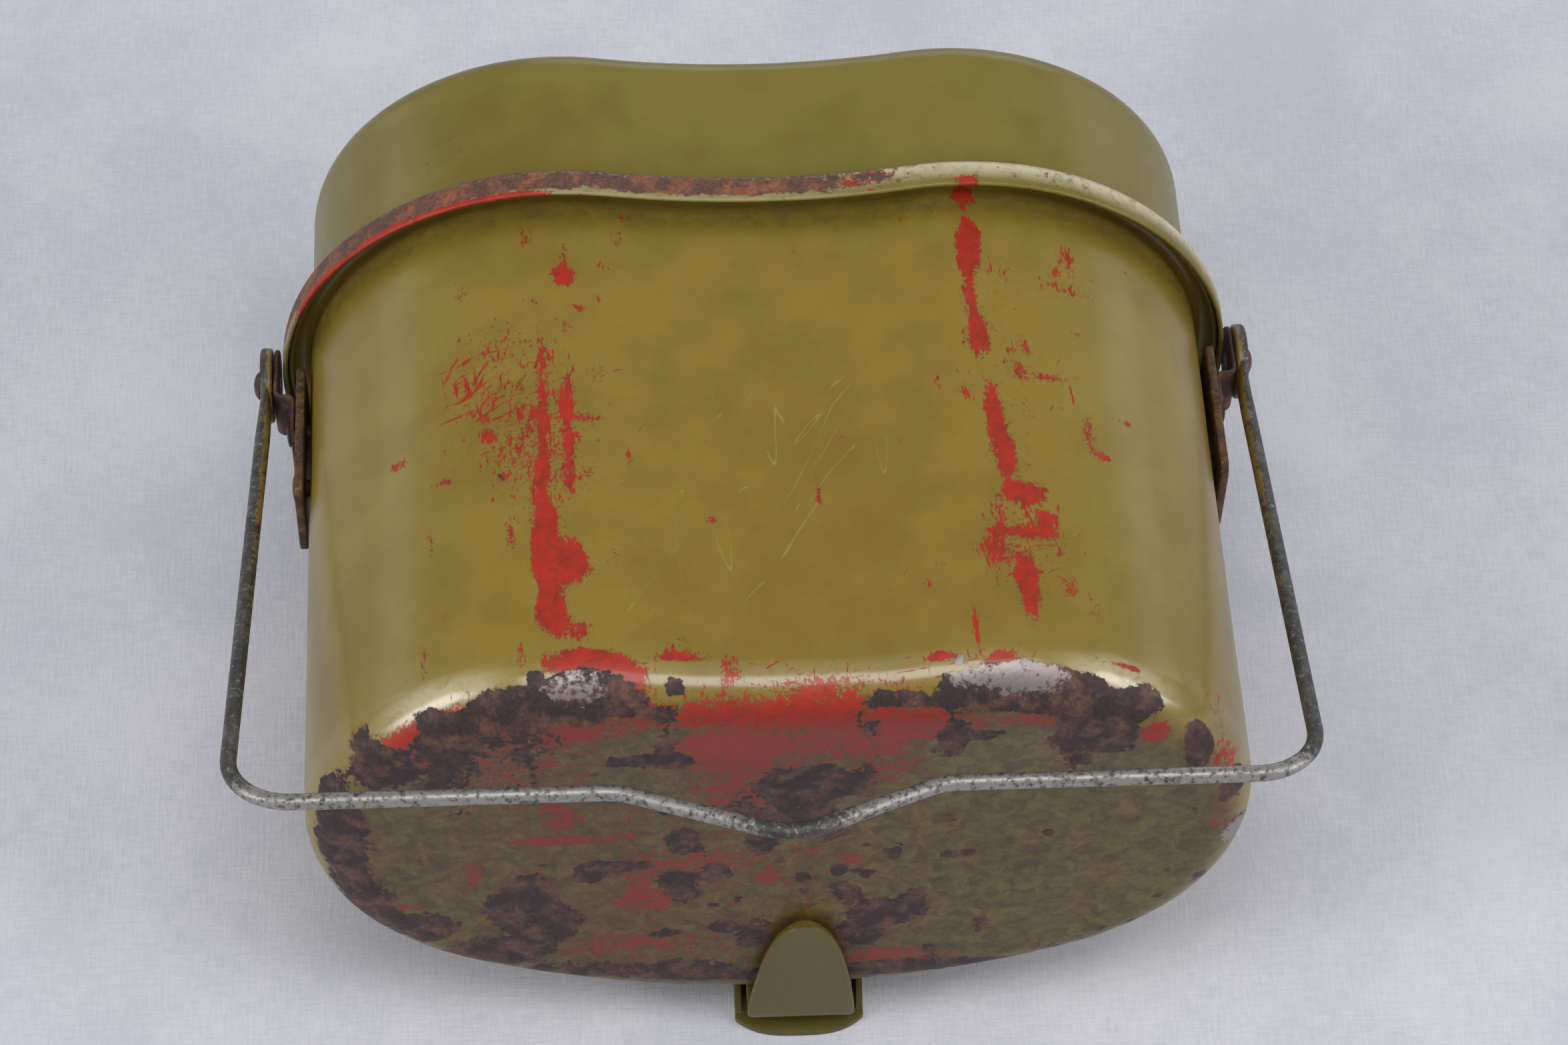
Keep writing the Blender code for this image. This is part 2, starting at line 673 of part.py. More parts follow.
def make_hinge_plate(material):
    middle = math.asin(HANDLE_X / BACK_RADIUS)
    bm = arc_plate(
        (0.0, BACK_CENTRE_Z),
        BACK_RADIUS,
        middle,
        HINGE_PLATE_HALF,
        HINGE_PLATE_LOW,
        HINGE_PLATE_HIGH,
        (0.003, 0.003),
        GAP,
        GAP + HINGE_PLATE_THICK,
    )
    plate = finish_mesh("hinge_plate", bm, (0, 0, 0), material)
    outer = CHANNEL_HALF - CHANNEL_THICK - LUG_GAP
    for side, name in ((-1, "left"), (1, "right")):
        near = HANDLE_X + side * outer
        far = HANDLE_X + side * (outer - HINGE_PLATE_THICK)
        points = lug_points((near + far) / 2)
        lug = extruded(points, lug_to_space, near, far)
        add_boolean(plate, make_helper("hinge_lug_" + name, lug), "UNION")
    holes = bmesh.new()
    start, end = HANDLE_X - 0.02, HANDLE_X + 0.02
    pin_z = -PIN_DROP
    add_cylinder(holes, (start, PIN_Y, pin_z), (end, PIN_Y, pin_z), PIN_RADIUS + GAP)
    for turn, y in hinge_rivet_places():
        start, end = back_point(turn, y, -0.003), back_point(turn, y, 0.004)
        add_cylinder(holes, start, end, HINGE_RIVET_SHANK + GAP)
    add_boolean(plate, make_helper("hinge_plate_cutter", holes), "DIFFERENCE")
    return plate


def make_hinge_rivets(material):
    face = GAP + HINGE_PLATE_THICK + GAP
    grip = face + SHEET + GAP
    for i, (turn, y) in enumerate(hinge_rivet_places()):
        bm = bmesh.new()
        profile = rivet_profile(HINGE_RIVET_SHANK, HINGE_RIVET_HEAD, RIVET_DOME, grip, 0.002)
        start = back_point(turn, y, face)
        direction = start - Vector((0, y, BACK_CENTRE_Z))
        add_lathe(bm, profile, place_along(start, direction))
        finish_mesh("hinge_rivet_" + str(i + 1), bm, (0, 0, 0), material)


def make_hinge_pin(material):
    bm = bmesh.new()
    reach = CHANNEL_HALF + GAP
    head = 0.001
    profile = [(0, -reach - head), (PIN_HEAD * 0.7, -reach - head), (PIN_HEAD, -reach - head * 0.6)]
    profile += [(PIN_HEAD, -reach), (PIN_RADIUS, -reach), (PIN_RADIUS, reach)]
    profile += [(PIN_HEAD, reach), (PIN_HEAD, reach + head * 0.6)]
    profile += [(PIN_HEAD * 0.7, reach + head), (0, reach + head)]
    add_lathe(bm, profile, place_along((HANDLE_X, PIN_Y, -PIN_DROP), (1, 0, 0)))
    return finish_mesh("hinge_pin", bm, (0, 0, 0), material)


def channel_side_points():
    """Side view of the channel in (y, z), flanges included."""
    knuckle = LUG_RADIUS + 0.0004
    ring_low = SHOULDER_TOP - SKIRT_HEIGHT
    points = [(CHANNEL_END, -CHANNEL_DROP), (CHANNEL_FLOOR_STOP, -CHANNEL_DROP)]
    points += arc_points((PIN_Y, -PIN_DROP), knuckle, -60, 90, 8)
    points.append((PIN_Y - 0.004, -PIN_DROP + knuckle))
    points.append((SHOULDER_TOP + 0.0025, -RING_RELIEF))
    points.append((ring_low - 0.0015, -RING_RELIEF))
    points.append((ring_low - 0.008, FLANGE_TOP))
    points.append((0.008, FLANGE_TOP))
    points.append((0.0032, -CHANNEL_DROP + CHANNEL_THICK + 0.0008))
    points.append((0.0025, -CHANNEL_DROP + CHANNEL_THICK))
    points.append((CHANNEL_END, -CHANNEL_DROP + CHANNEL_THICK))
    return points


def handle_side_to_space(u, v, w):
    """Side view coordinates (y, z) and distance w across the handle to kit coordinates."""
    return Vector((HANDLE_X + w, u, v))


def channel_hollow():
    """Cutter for the space between the flanges and for the gap behind the floor's end."""
    floor = -CHANNEL_DROP + CHANNEL_THICK
    points = [(-0.02, floor), (CHANNEL_FLOOR_STOP - 0.001, floor)]
    past = PIN_Y + 0.019
    points += [(CHANNEL_FLOOR_STOP - 0.001, -0.02), (past, -0.02), (past, 0.01), (-0.02, 0.01)]
    half = CHANNEL_HALF - CHANNEL_THICK
    return extruded(points, handle_side_to_space, -half, half)


def channel_end_cutter():
    """Cutter that leaves the channel's free end with rounded corners in plan."""

    def to_space(u, v, w):
        return Vector((u, v, w))

    half = CHANNEL_HALF + 0.0005
    points = [(HANDLE_X + half, -0.03), (HANDLE_X - half, -0.03)]
    for i in range(-8, 9):
        share = math.sin(i / 8 * math.pi / 2)
        sag = CHANNEL_END_SAG * abs(share) ** CHANNEL_END_POWER
        points.append((HANDLE_X + half * share, CHANNEL_END + sag))
    low, high = -CHANNEL_DROP - 0.002, -CHANNEL_DROP + CHANNEL_THICK + 0.004
    return extruded(points, to_space, low, high)


def handle_origin():
    return (HANDLE_X, PIN_Y, -PIN_DROP)


def make_channel(material):
    points = channel_side_points()
    bm = extruded(points, handle_side_to_space, -CHANNEL_HALF, CHANNEL_HALF)
    channel = finish_mesh("handle_channel", bm, handle_origin(), material)
    add_boolean(channel, make_helper("channel_hollow", channel_hollow()), "DIFFERENCE")
    add_boolean(channel, make_helper("channel_end_cutter", channel_end_cutter()), "DIFFERENCE")
    holes = bmesh.new()
    pin_z = -PIN_DROP
    start, end = HANDLE_X - 0.02, HANDLE_X + 0.02
    add_cylinder(holes, (start, PIN_Y, pin_z), (end, PIN_Y, pin_z), PIN_RADIUS + GAP)
    for y in HOOK_RIVET_YS:
        low, high = (HANDLE_X, y, -CHANNEL_DROP - 0.002), (HANDLE_X, y, -CHANNEL_DROP + 0.003)
        add_cylinder(holes, low, high, HOOK_RIVET_SHANK + GAP)
    add_boolean(channel, make_helper("channel_hole_cutter", holes), "DIFFERENCE")
    return channel


def leaf_foot_z():
    """Middle height of the leaf where it lies on the channel's floor."""
    return -CHANNEL_DROP + CHANNEL_THICK + GAP + LEAF_THICK / 2


def leaf_path():
    """Middle line of the leaf in (y, z), foot first, and its half width at each point."""
    top = LEAF_TOP - LEAF_THICK / 2
    face = TONGUE_FACE + LEAF_THICK / 2
    root = top + LEAF_BEND
    foot = leaf_foot_z()
    path = [Vector((LEAF_FOOT_END, foot)), Vector((LEAF_RISE_START, foot))]
    for i in range(1, 8):
        t = i / 8
        ease = t * t * (3 - 2 * t)
        y = LEAF_RISE_START + (LEAF_RISE_END - LEAF_RISE_START) * t
        path.append(Vector((y, foot + (top - foot) * ease)))
    path += rounded_path([(LEAF_RISE_END, top), (face, top), (face, root + 0.001)], LEAF_BEND, 5)
    halves = [LEAF_HALF] * len(path)
    for t in (0.12, 0.25, 0.37, 0.49, 0.6, 0.7, 0.78, 0.85, 0.91, 0.955, 0.985, 0.998):
        z = root + (TONGUE_TIP - root) * t
        path.append(Vector((face, z)))
        taper = 1 - 0.07 * math.sin(math.pi * t)
        halves.append(LEAF_HALF * taper * math.sqrt(1 - t * t))
    return path, halves


def make_leaf(material):
    path, halves = leaf_path()

    def to_space(u, v, w):
        return Vector((HANDLE_X + w, u, v))

    bm = bent_strip(path, halves, LEAF_THICK, to_space)
    leaf = finish_mesh("hook_leaf", bm, handle_origin(), material)
    holes = bmesh.new()
    for y in HOOK_RIVET_YS:
        low, high = leaf_foot_z() - 0.002, leaf_foot_z() + 0.002
        add_cylinder(holes, (HANDLE_X, y, low), (HANDLE_X, y, high), HOOK_RIVET_SHANK + GAP)
    add_boolean(leaf, make_helper("leaf_hole_cutter", holes), "DIFFERENCE")
    return leaf


def make_hook_rivets(material):
    """Domed on the leaf, finished flush with the outside of the channel."""
    head_z = leaf_foot_z() + LEAF_THICK / 2 + GAP
    grip = head_z + CHANNEL_DROP
    for i, y in enumerate(HOOK_RIVET_YS):
        bm = bmesh.new()
        profile = rivet_profile(HOOK_RIVET_SHANK, HOOK_RIVET_HEAD, RIVET_DOME, grip, 0)
        add_lathe(bm, profile, place_along((HANDLE_X, y, head_z), (0, 0, 1)))
        finish_mesh("hook_rivet_" + str(i + 1), bm, handle_origin(), material)


def make_ears():
    ear_material = rusty_steel()
    rivet_material = rivet_steel()
    stud_material = pin_steel()
    for side, name in ((-1, "left"), (1, "right")):
        make_ear_plate(side, name, ear_material)
        make_ear_bracket(side, name, ear_material)
        high = "ear_rivet_upper_" + name
        low = "ear_rivet_lower_" + name
        make_ear_rivet(side, high, rivet_high_y(), FOOT_FACE, rivet_material)
        make_ear_rivet(side, low, EAR_RIVET_LOW, PLATE_FACE, rivet_material)
        make_stud(side, name, stud_material)


def make_handle():
    paint = handle_paint()
    steel = rivet_steel()
    make_hinge_plate(paint)
    make_hinge_rivets(steel)
    make_hinge_pin(pin_steel())
    make_channel(paint)
    make_leaf(paint)
    make_hook_rivets(steel)


def centre_on_origin():
    """Move everything so that the visible pieces stand on z = 0, centred in x and y."""
    bpy.context.view_layer.update()
    graph = bpy.context.evaluated_depsgraph_get()
    points = []
    for obj in bpy.context.scene.objects:
        if not obj.hide_render:
            seen = obj.evaluated_get(graph)
            mesh = seen.to_mesh()
            points += [seen.matrix_world @ vertex.co for vertex in mesh.vertices]
            seen.to_mesh_clear()
    low = Vector([min(point[i] for point in points) for i in range(3)])
    high = Vector([max(point[i] for point in points) for i in range(3)])
    shift = Vector((-(low.x + high.x) / 2, -(low.y + high.y) / 2, -low.z))
    for obj in bpy.context.scene.objects:
        obj.location = obj.location + shift
    bpy.context.view_layer.update()
    print("moved by", [round(value, 6) for value in shift])
    print("bail axis", [round(v, 6) for v in Vector((0, PIVOT_Y, END_Z)) + shift])
    print("handle axis", [round(v, 6) for v in Vector(handle_origin()) + shift])


def main():
    clear_scene()
    make_pot()
    make_lid()
    make_ears()
    make_bail()
    make_handle()
    centre_on_origin()


main()
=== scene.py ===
"""Looks of a kidney-shaped steel mess kit: deep pot, pan lid, wire bail and latching handle."""

import logging
import math
from dataclasses import dataclass
from enum import Enum
from typing import Callable, Iterable, Sequence

import bmesh
import bpy
import numpy as np
from bpy.types import Material, Mesh, Node, NodeSocket, NodeTree
from mathutils import Matrix, Vector


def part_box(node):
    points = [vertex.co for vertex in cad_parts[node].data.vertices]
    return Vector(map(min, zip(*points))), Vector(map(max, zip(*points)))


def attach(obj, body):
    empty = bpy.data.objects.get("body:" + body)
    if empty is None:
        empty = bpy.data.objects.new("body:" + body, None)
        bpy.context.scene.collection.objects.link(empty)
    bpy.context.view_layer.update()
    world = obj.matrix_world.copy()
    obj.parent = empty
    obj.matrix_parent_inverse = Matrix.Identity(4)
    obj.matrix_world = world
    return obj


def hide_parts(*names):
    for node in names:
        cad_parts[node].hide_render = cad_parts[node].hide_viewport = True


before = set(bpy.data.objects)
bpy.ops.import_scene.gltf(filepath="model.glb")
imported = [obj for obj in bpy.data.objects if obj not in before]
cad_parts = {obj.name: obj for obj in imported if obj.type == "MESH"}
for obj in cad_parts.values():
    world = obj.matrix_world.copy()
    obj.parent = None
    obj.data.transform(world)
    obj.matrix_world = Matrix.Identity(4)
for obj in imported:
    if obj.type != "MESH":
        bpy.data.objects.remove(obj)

LOG = logging.getLogger("mess_kit")
MM = 0.001
SHEET = 0.0009
Colour = tuple[float, float, float]
Point = tuple[float, float, float]


class Body(Enum):
    POT = "pot"
    BAIL = "bail"
    LID = "lid"
    HANDLE = "handle"


class Slot(Enum):
    """The record's material slots."""

    POT = "pot_paint"
    LID = "lid_paint"
    HANDLE = "handle_paint"
    EAR = "ear_steel"
    RIVET = "rivet_steel"
    WIRE = "wire_steel"
    PIN = "pin_steel"


def shade(red: float, green: float, blue: float) -> Colour:
    """Turn a screen colour into the linear colour that shaders take.

    Args:
        red: Red, 0 to 255.
        green: Green, 0 to 255.
        blue: Blue, 0 to 255.

    Returns:
        The linear colour.
    """
    parts = []
    for value in (red, green, blue):
        share = value / 255
        low = share <= 0.04045
        parts.append(share / 12.92 if low else ((share + 0.055) / 1.055) ** 2.4)
    return parts[0], parts[1], parts[2]


# Shader nodes


class Nodes:
    """A pen for drawing shader nodes into one node tree."""

    def __init__(self, tree: NodeTree) -> None:
        """Start drawing in tree."""
        self.tree = tree

    def add(self, kind: str, **settings: object) -> Node:
        """Add a node.

        Args:
            kind: Node type without its ShaderNode prefix.
            **settings: Properties of the node.

        Returns:
            The new node.
        """
        node = self.tree.nodes.new("ShaderNode" + kind)
        for name, value in settings.items():
            setattr(node, name, value)
        return node

    def feed(self, socket: NodeSocket, value: object) -> None:
        """Give a socket its value.

        Args:
            socket: The input socket.
            value: Another socket to link, or a constant.
        """
        if isinstance(value, NodeSocket):
            self.tree.links.new(value, socket)
        elif isinstance(value, tuple) and len(value) == 3 and socket.type == "RGBA":
            socket.default_value = (*value, 1.0)
        else:
            socket.default_value = value

    def make(self, kind: str, inputs: dict[int | str, object], **settings: object) -> Node:
        """Add a node and feed it.

        Args:
            kind: Node type without its ShaderNode prefix.
            inputs: Values or sockets for its inputs, by name or number.
            **settings: Properties of the node.

        Returns:
            The new node.
        """
        node = self.add(kind, **settings)
        for key, value in inputs.items():
            self.feed(node.inputs[key], value)
        return node

    def math(self, operation: str, first: object, second: object = 0.0) -> NodeSocket:
        """One sum on two values."""
        return self.make("Math", {0: first, 1: second}, operation=operation).outputs[0]

    def times(self, first: object, second: object) -> NodeSocket:
        """Product of two values."""
        return self.math("MULTIPLY", first, second)

    def plus(self, first: object, second: object) -> NodeSocket:
        """Sum of two values."""
        return self.math("ADD", first, second)

    def less(self, first: object, second: object) -> NodeSocket:
        """First value less the second."""
        return self.math("SUBTRACT", first, second)

    def most(self, first: object, second: object) -> NodeSocket:
        """The larger of two values."""
        return self.math("MAXIMUM", first, second)

    def mix(self, share: object, first: object, second: object, way: str = "MIX") -> NodeSocket:
        """Mix two colours.

        Args:
            share: How much of the second colour.
            first: Colour at share 0.
            second: Colour at share 1.
            way: Blend type.

        Returns:
            The mixed colour.
        """
        return self.make("Mix", {0: share, 6: first, 7: second}, data_type="RGBA", blend_type=way).outputs[2]

    def between(self, share: object, first: object, second: object) -> NodeSocket:
        """Mix two numbers."""
        return self.make("Mix", {0: share, 2: first, 3: second}, data_type="FLOAT").outputs[0]

    def ease(self, value: object, low: object, high: object) -> NodeSocket:
        """Smooth step of value from 0 at low to 1 at high."""
        return self.make("MapRange", {0: value, 1: low, 2: high}, interpolation_type="SMOOTHSTEP").outputs[0]

    def noise(self, vector: object, scale: object, detail: float = 4.0, rough: float = 0.55,
              bend: float = 0.0) -> NodeSocket:
        """Cloud noise.

        Args:
            vector: Where it is read.
            scale: Clouds per millimetre.
            detail: Octaves.
            rough: Weight of the fine octaves.
            bend: Distortion.

        Returns:
            A value about one half.
        """
        inputs = {"Vector": vector, "Scale": scale, "Detail": detail, "Roughness": rough, "Distortion": bend}
        return self.make("TexNoise", inputs).outputs[0]

    def cells(self, vector: object, scale: float, feature: str = "F1") -> Node:
        """Cell noise node of one feature, with scale in cells per millimetre."""
        return self.make("TexVoronoi", {"Vector": vector, "Scale": scale}, feature=feature)

    def drawn(self, vector: object, turn: Point, size: Point) -> NodeSocket:
        """Turn a vector and draw it out.

        Args:
            vector: The vector.
            turn: Angles about X, Y and Z in degrees.
            size: How many times longer the pattern becomes along each turned axis.

        Returns:
            The changed vector.
        """
        inputs = {"Vector": vector, "Rotation": tuple(math.radians(a) for a in turn), "Scale": size}
        return self.make("Mapping", inputs, vector_type="TEXTURE").outputs[0]

    def worn(self, name: str) -> NodeSocket:
        """A wear field that the mesh carries, by name."""
        return self.add("Attribute", attribute_name=name).outputs["Fac"]

    def place(self, effect: NodeTree, **values: object) -> Node:
        """Place a shared effect.

        Args:
            effect: The node group.
            **values: Values or sockets for its inputs, by name.

        Returns:
            The group node.
        """
        return self.make("Group", values, node_tree=effect)

    def millimetres(self) -> NodeSocket:
        """The piece's own coordinates in millimetres."""
        where = self.add("TexCoord").outputs["Object"]
        return self.make("VectorMath", {0: where, "Scale": 1 / MM}, operation="SCALE").outputs[0]

    def raised(self, shader: Node, height: object, depth: float) -> None:
        """Raise a shader's surface.

        Args:
            shader: The shader.
            height: Height from 0 to 1.
            depth: Metres at height 1.
        """
        node = self.make("Bump", {"Strength": 1.0, "Distance": depth, "Height": height})
        self.feed(shader.inputs["Normal"], node.outputs[0])


def start_material(name: str) -> tuple:
    """Start a material.

    Args:
        name: Its name.

    Returns:
        The material, its pen, its shader and its coordinates in millimetres.
    """
    material = bpy.data.materials.new(name)
    material.use_nodes = True
    pen = Nodes(material.node_tree)
    return material, pen, material.node_tree.nodes["Principled BSDF"], pen.millimetres()


def start_effect(name: str, inputs: dict[str, object], outputs: dict[str, str]) -> tuple:
    """Start a shared effect as a node group.

    Args:
        name: Name of the group.
        inputs: Default value of each input; a 3-tuple makes a vector, a 4-tuple a colour.
        outputs: Kind of each output, "value" or "colour".

    Returns:
        The group, its pen, the input node's outputs and the output node's inputs.
    """
    group = bpy.data.node_groups.new(name, "ShaderNodeTree")
    kinds = {3: "NodeSocketVector", 4: "NodeSocketColor"}
    for key, value in inputs.items():
        kind = kinds.get(len(value), "") if isinstance(value, tuple) else "NodeSocketFloat"
        socket = group.interface.new_socket(key, in_out="INPUT", socket_type=kind)
        socket.default_value = value
    for key, kind in outputs.items():
        kind = "NodeSocketColor" if kind == "colour" else "NodeSocketFloat"
        group.interface.new_socket(key, in_out="OUTPUT", socket_type=kind)
    pen = Nodes(group)
    entry = group.nodes.new("NodeGroupInput").outputs
    leave = group.nodes.new("NodeGroupOutput").inputs
    return group, pen, entry, leave


class Effects:
    """Effects that several finishes share, each a node group that is built once."""

    def __init__(self) -> None:
        """Build every effect."""
        self.broken = self.broken_edge()
        self.lines = self.hairlines()
        self.dashes = self.drawn_dashes()
        self.oxide = self.oxidised_steel()
        self.skin = self.paint_skin()
        self.blisters = self.blistering()

    def broken_edge(self) -> NodeTree:
        """Turns a soft wear field into ragged patches, crumbs and specks.

        Returns:
            The node group.
        """
        inputs = {"Vector": (0.0, 0.0, 0.0), "Field": 0.0, "Scale": 0.3, "Gain": 2.0, "Softness": 0.03}
        group, pen, entry, leave = start_effect("broken_edge", inputs, {"Mask": "value", "Rim": "value"})
        wide = pen.noise(entry["Vector"], entry["Scale"], 9.0, 0.62, 0.35)
        fine_scale = pen.times(entry["Scale"], 4.3)
        fine = pen.noise(entry["Vector"], fine_scale, 5.0, 0.6)
        both = pen.between(0.42, wide, fine)
        spread = pen.times(pen.less(both, 0.5), entry["Gain"])
        height = pen.plus(spread, entry["Field"])
        low = pen.less(0.5, entry["Softness"])
        high = pen.plus(0.5, entry["Softness"])
        pen.feed(leave["Mask"], pen.ease(height, low, high))
        pen.feed(leave["Rim"], pen.ease(height, 0.36, 0.5))
        return group

    def hairlines(self) -> NodeTree:
        """Thin drawn lines in broken lengths; the vector given is already turned and drawn out.

        Returns:
            The node group.
        """
        inputs = {"Vector": (0.0, 0.0, 0.0), "Scale": 0.25, "Width": 0.012, "Cover": 0.5}
        group, pen, entry, leave = start_effect("hairlines", inputs, {"Mask": "value"})
        wave = pen.noise(entry["Vector"], entry["Scale"], 2.0, 0.4, 0.6)
        off = pen.math("ABSOLUTE", pen.less(wave, 0.5))
        line = pen.less(1.0, pen.ease(off, 0.0, entry["Width"]))
        gate_scale = pen.times(entry["Scale"], 1.7)
        gate = pen.noise(entry["Vector"], gate_scale, 3.0, 0.6)
        limit = pen.less(0.78, pen.times(entry["Cover"], 0.42))
        shown = pen.ease(gate, limit, pen.plus(limit, 0.05))
        pen.feed(leave["Mask"], pen.times(line, shown))
        return group

    def drawn_dashes(self) -> NodeTree:
        """Short scratches that taper at both ends; the vector given is already turned and drawn out.

        Returns:
            The node group.
        """
        inputs = {"Vector": (0.0, 0.0, 0.0), "Scale": 0.8, "Cover": 0.5}
        group, pen, entry, leave = start_effect("drawn_dashes", inputs, {"Mask": "value"})
        wave = pen.noise(entry["Vector"], entry["Scale"], 4.0, 0.62, 0.2)
        limit = pen.less(0.77, pen.times(entry["Cover"], 0.27))
        pen.feed(leave["Mask"], pen.ease(wave, limit, pen.plus(limit, 0.025)))
        return group

    def oxidised_steel(self) -> NodeTree:
        """Dark oxide, warm rust and rubbed bright points (on the lid's ring partly a painted highlight), with its
        grain and its shine.

        Returns:
            The node group.
        """
        grey = (0.1, 0.1, 0.1, 1.0)
        inputs = {"Vector": (0.0, 0.0, 0.0), "Dark": grey, "Warm": grey, "Bright": grey, "Polish": 0.0}
        outputs = {"Color": "colour", "Grain": "value", "Shine": "value"}
        group, pen, entry, leave = start_effect("oxidised_steel", inputs, outputs)
        cloud = pen.noise(entry["Vector"], 0.22, 7.0, 0.62, 0.3)
        crumb = pen.noise(entry["Vector"], 1.3, 6.0, 0.7)
        base = pen.mix(pen.ease(cloud, 0.42, 0.66), entry["Dark"], entry["Warm"])
        flecks = pen.mix(pen.ease(crumb, 0.35, 0.7), (0.7, 0.7, 0.7), (1.35, 1.3, 1.28))
        base = pen.mix(1.0, base, flecks, "MULTIPLY")
        fine = pen.noise(entry["Vector"], 0.9, 7.0, 0.68)
        reach = pen.plus(fine, pen.times(pen.less(entry["Polish"], 0.5), 0.7))
        shine = pen.times(pen.ease(reach, 0.48, 0.66), pen.ease(entry["Polish"], 0.02, 0.2))
        pen.feed(leave["Color"], pen.mix(shine, base, entry["Bright"]))
        pen.feed(leave["Grain"], pen.between(0.5, crumb, fine))
        pen.feed(leave["Shine"], shine)
        return group

    def paint_skin(self) -> NodeTree:
        """Slow tone changes, orange peel and small nibs of sprayed paint.

        Returns:
            The node group.
        """
        group, pen, entry, leave = start_effect(
            "paint_skin", {"Vector": (0.0, 0.0, 0.0)}, {"Tone": "value", "Height": "value", "Smear": "value"})
        slow = pen.noise(entry["Vector"], 0.017, 3.0, 0.5)
        cloud = pen.noise(entry["Vector"], 0.09, 5.0, 0.6)
        pen.feed(leave["Tone"], pen.ease(pen.between(0.45, slow, cloud), 0.36, 0.64))
        peel = pen.noise(entry["Vector"], 0.8, 3.0, 0.5)
        nib = pen.cells(entry["Vector"], 0.16)
        spot = pen.less(1.0, pen.ease(nib.outputs["Distance"], 0.02, 0.07))
        pen.feed(leave["Height"], pen.plus(pen.times(peel, 0.5), pen.times(spot, 0.5)))
        pen.feed(leave["Smear"], pen.noise(entry["Vector"], 0.3, 6.0, 0.7, 0.8))
        return group

    def blistering(self) -> NodeTree:
        """Corrosion lifting the paint: domed blisters and burst, dark pits.

        Returns:
            The node group.
        """
        group, pen, entry, leave = start_effect(
            "blistering", {"Vector": (0.0, 0.0, 0.0), "Field": 0.0}, {"Pits": "value", "Height": "value"})
        stir = pen.make("TexNoise", {"Vector": entry["Vector"], "Scale": 0.4}).outputs["Color"]
        bend = pen.make("VectorMath", {0: stir, "Scale": 2.2}, operation="SCALE").outputs[0]
        moved = pen.make("VectorMath", {0: entry["Vector"], 1: bend}, operation="ADD")
        big = pen.cells(moved.outputs[0], 0.16)
        small = pen.cells(moved.outputs[0], 0.42)
        area = pen.noise(entry["Vector"], 0.05, 3.0, 0.6)
        likely = pen.times(entry["Field"], pen.ease(area, 0.35, 0.6))
        size = pen.times(likely, 0.3)
        pit = pen.less(1.0, pen.ease(big.outputs["Distance"], size, pen.plus(size, 0.06)))
        pit = pen.times(pit, pen.ease(likely, 0.15, 0.4))
        crumb = pen.less(1.0, pen.ease(small.outputs["Distance"], 0.06, 0.2))
        crumb = pen.times(crumb, likely)
        dome = pen.less(1.0, pen.ease(small.outputs["Distance"], 0.1, 0.62))
        lift = pen.noise(entry["Vector"], 0.13, 4.0, 0.55)
        swell = pen.plus(pen.times(dome, 0.35), pen.times(lift, 0.9))
        pen.feed(leave["Pits"], pen.most(pit, pen.times(crumb, 0.5)))
        pen.feed(leave["Height"], pen.times(swell, entry["Field"]))
        return group


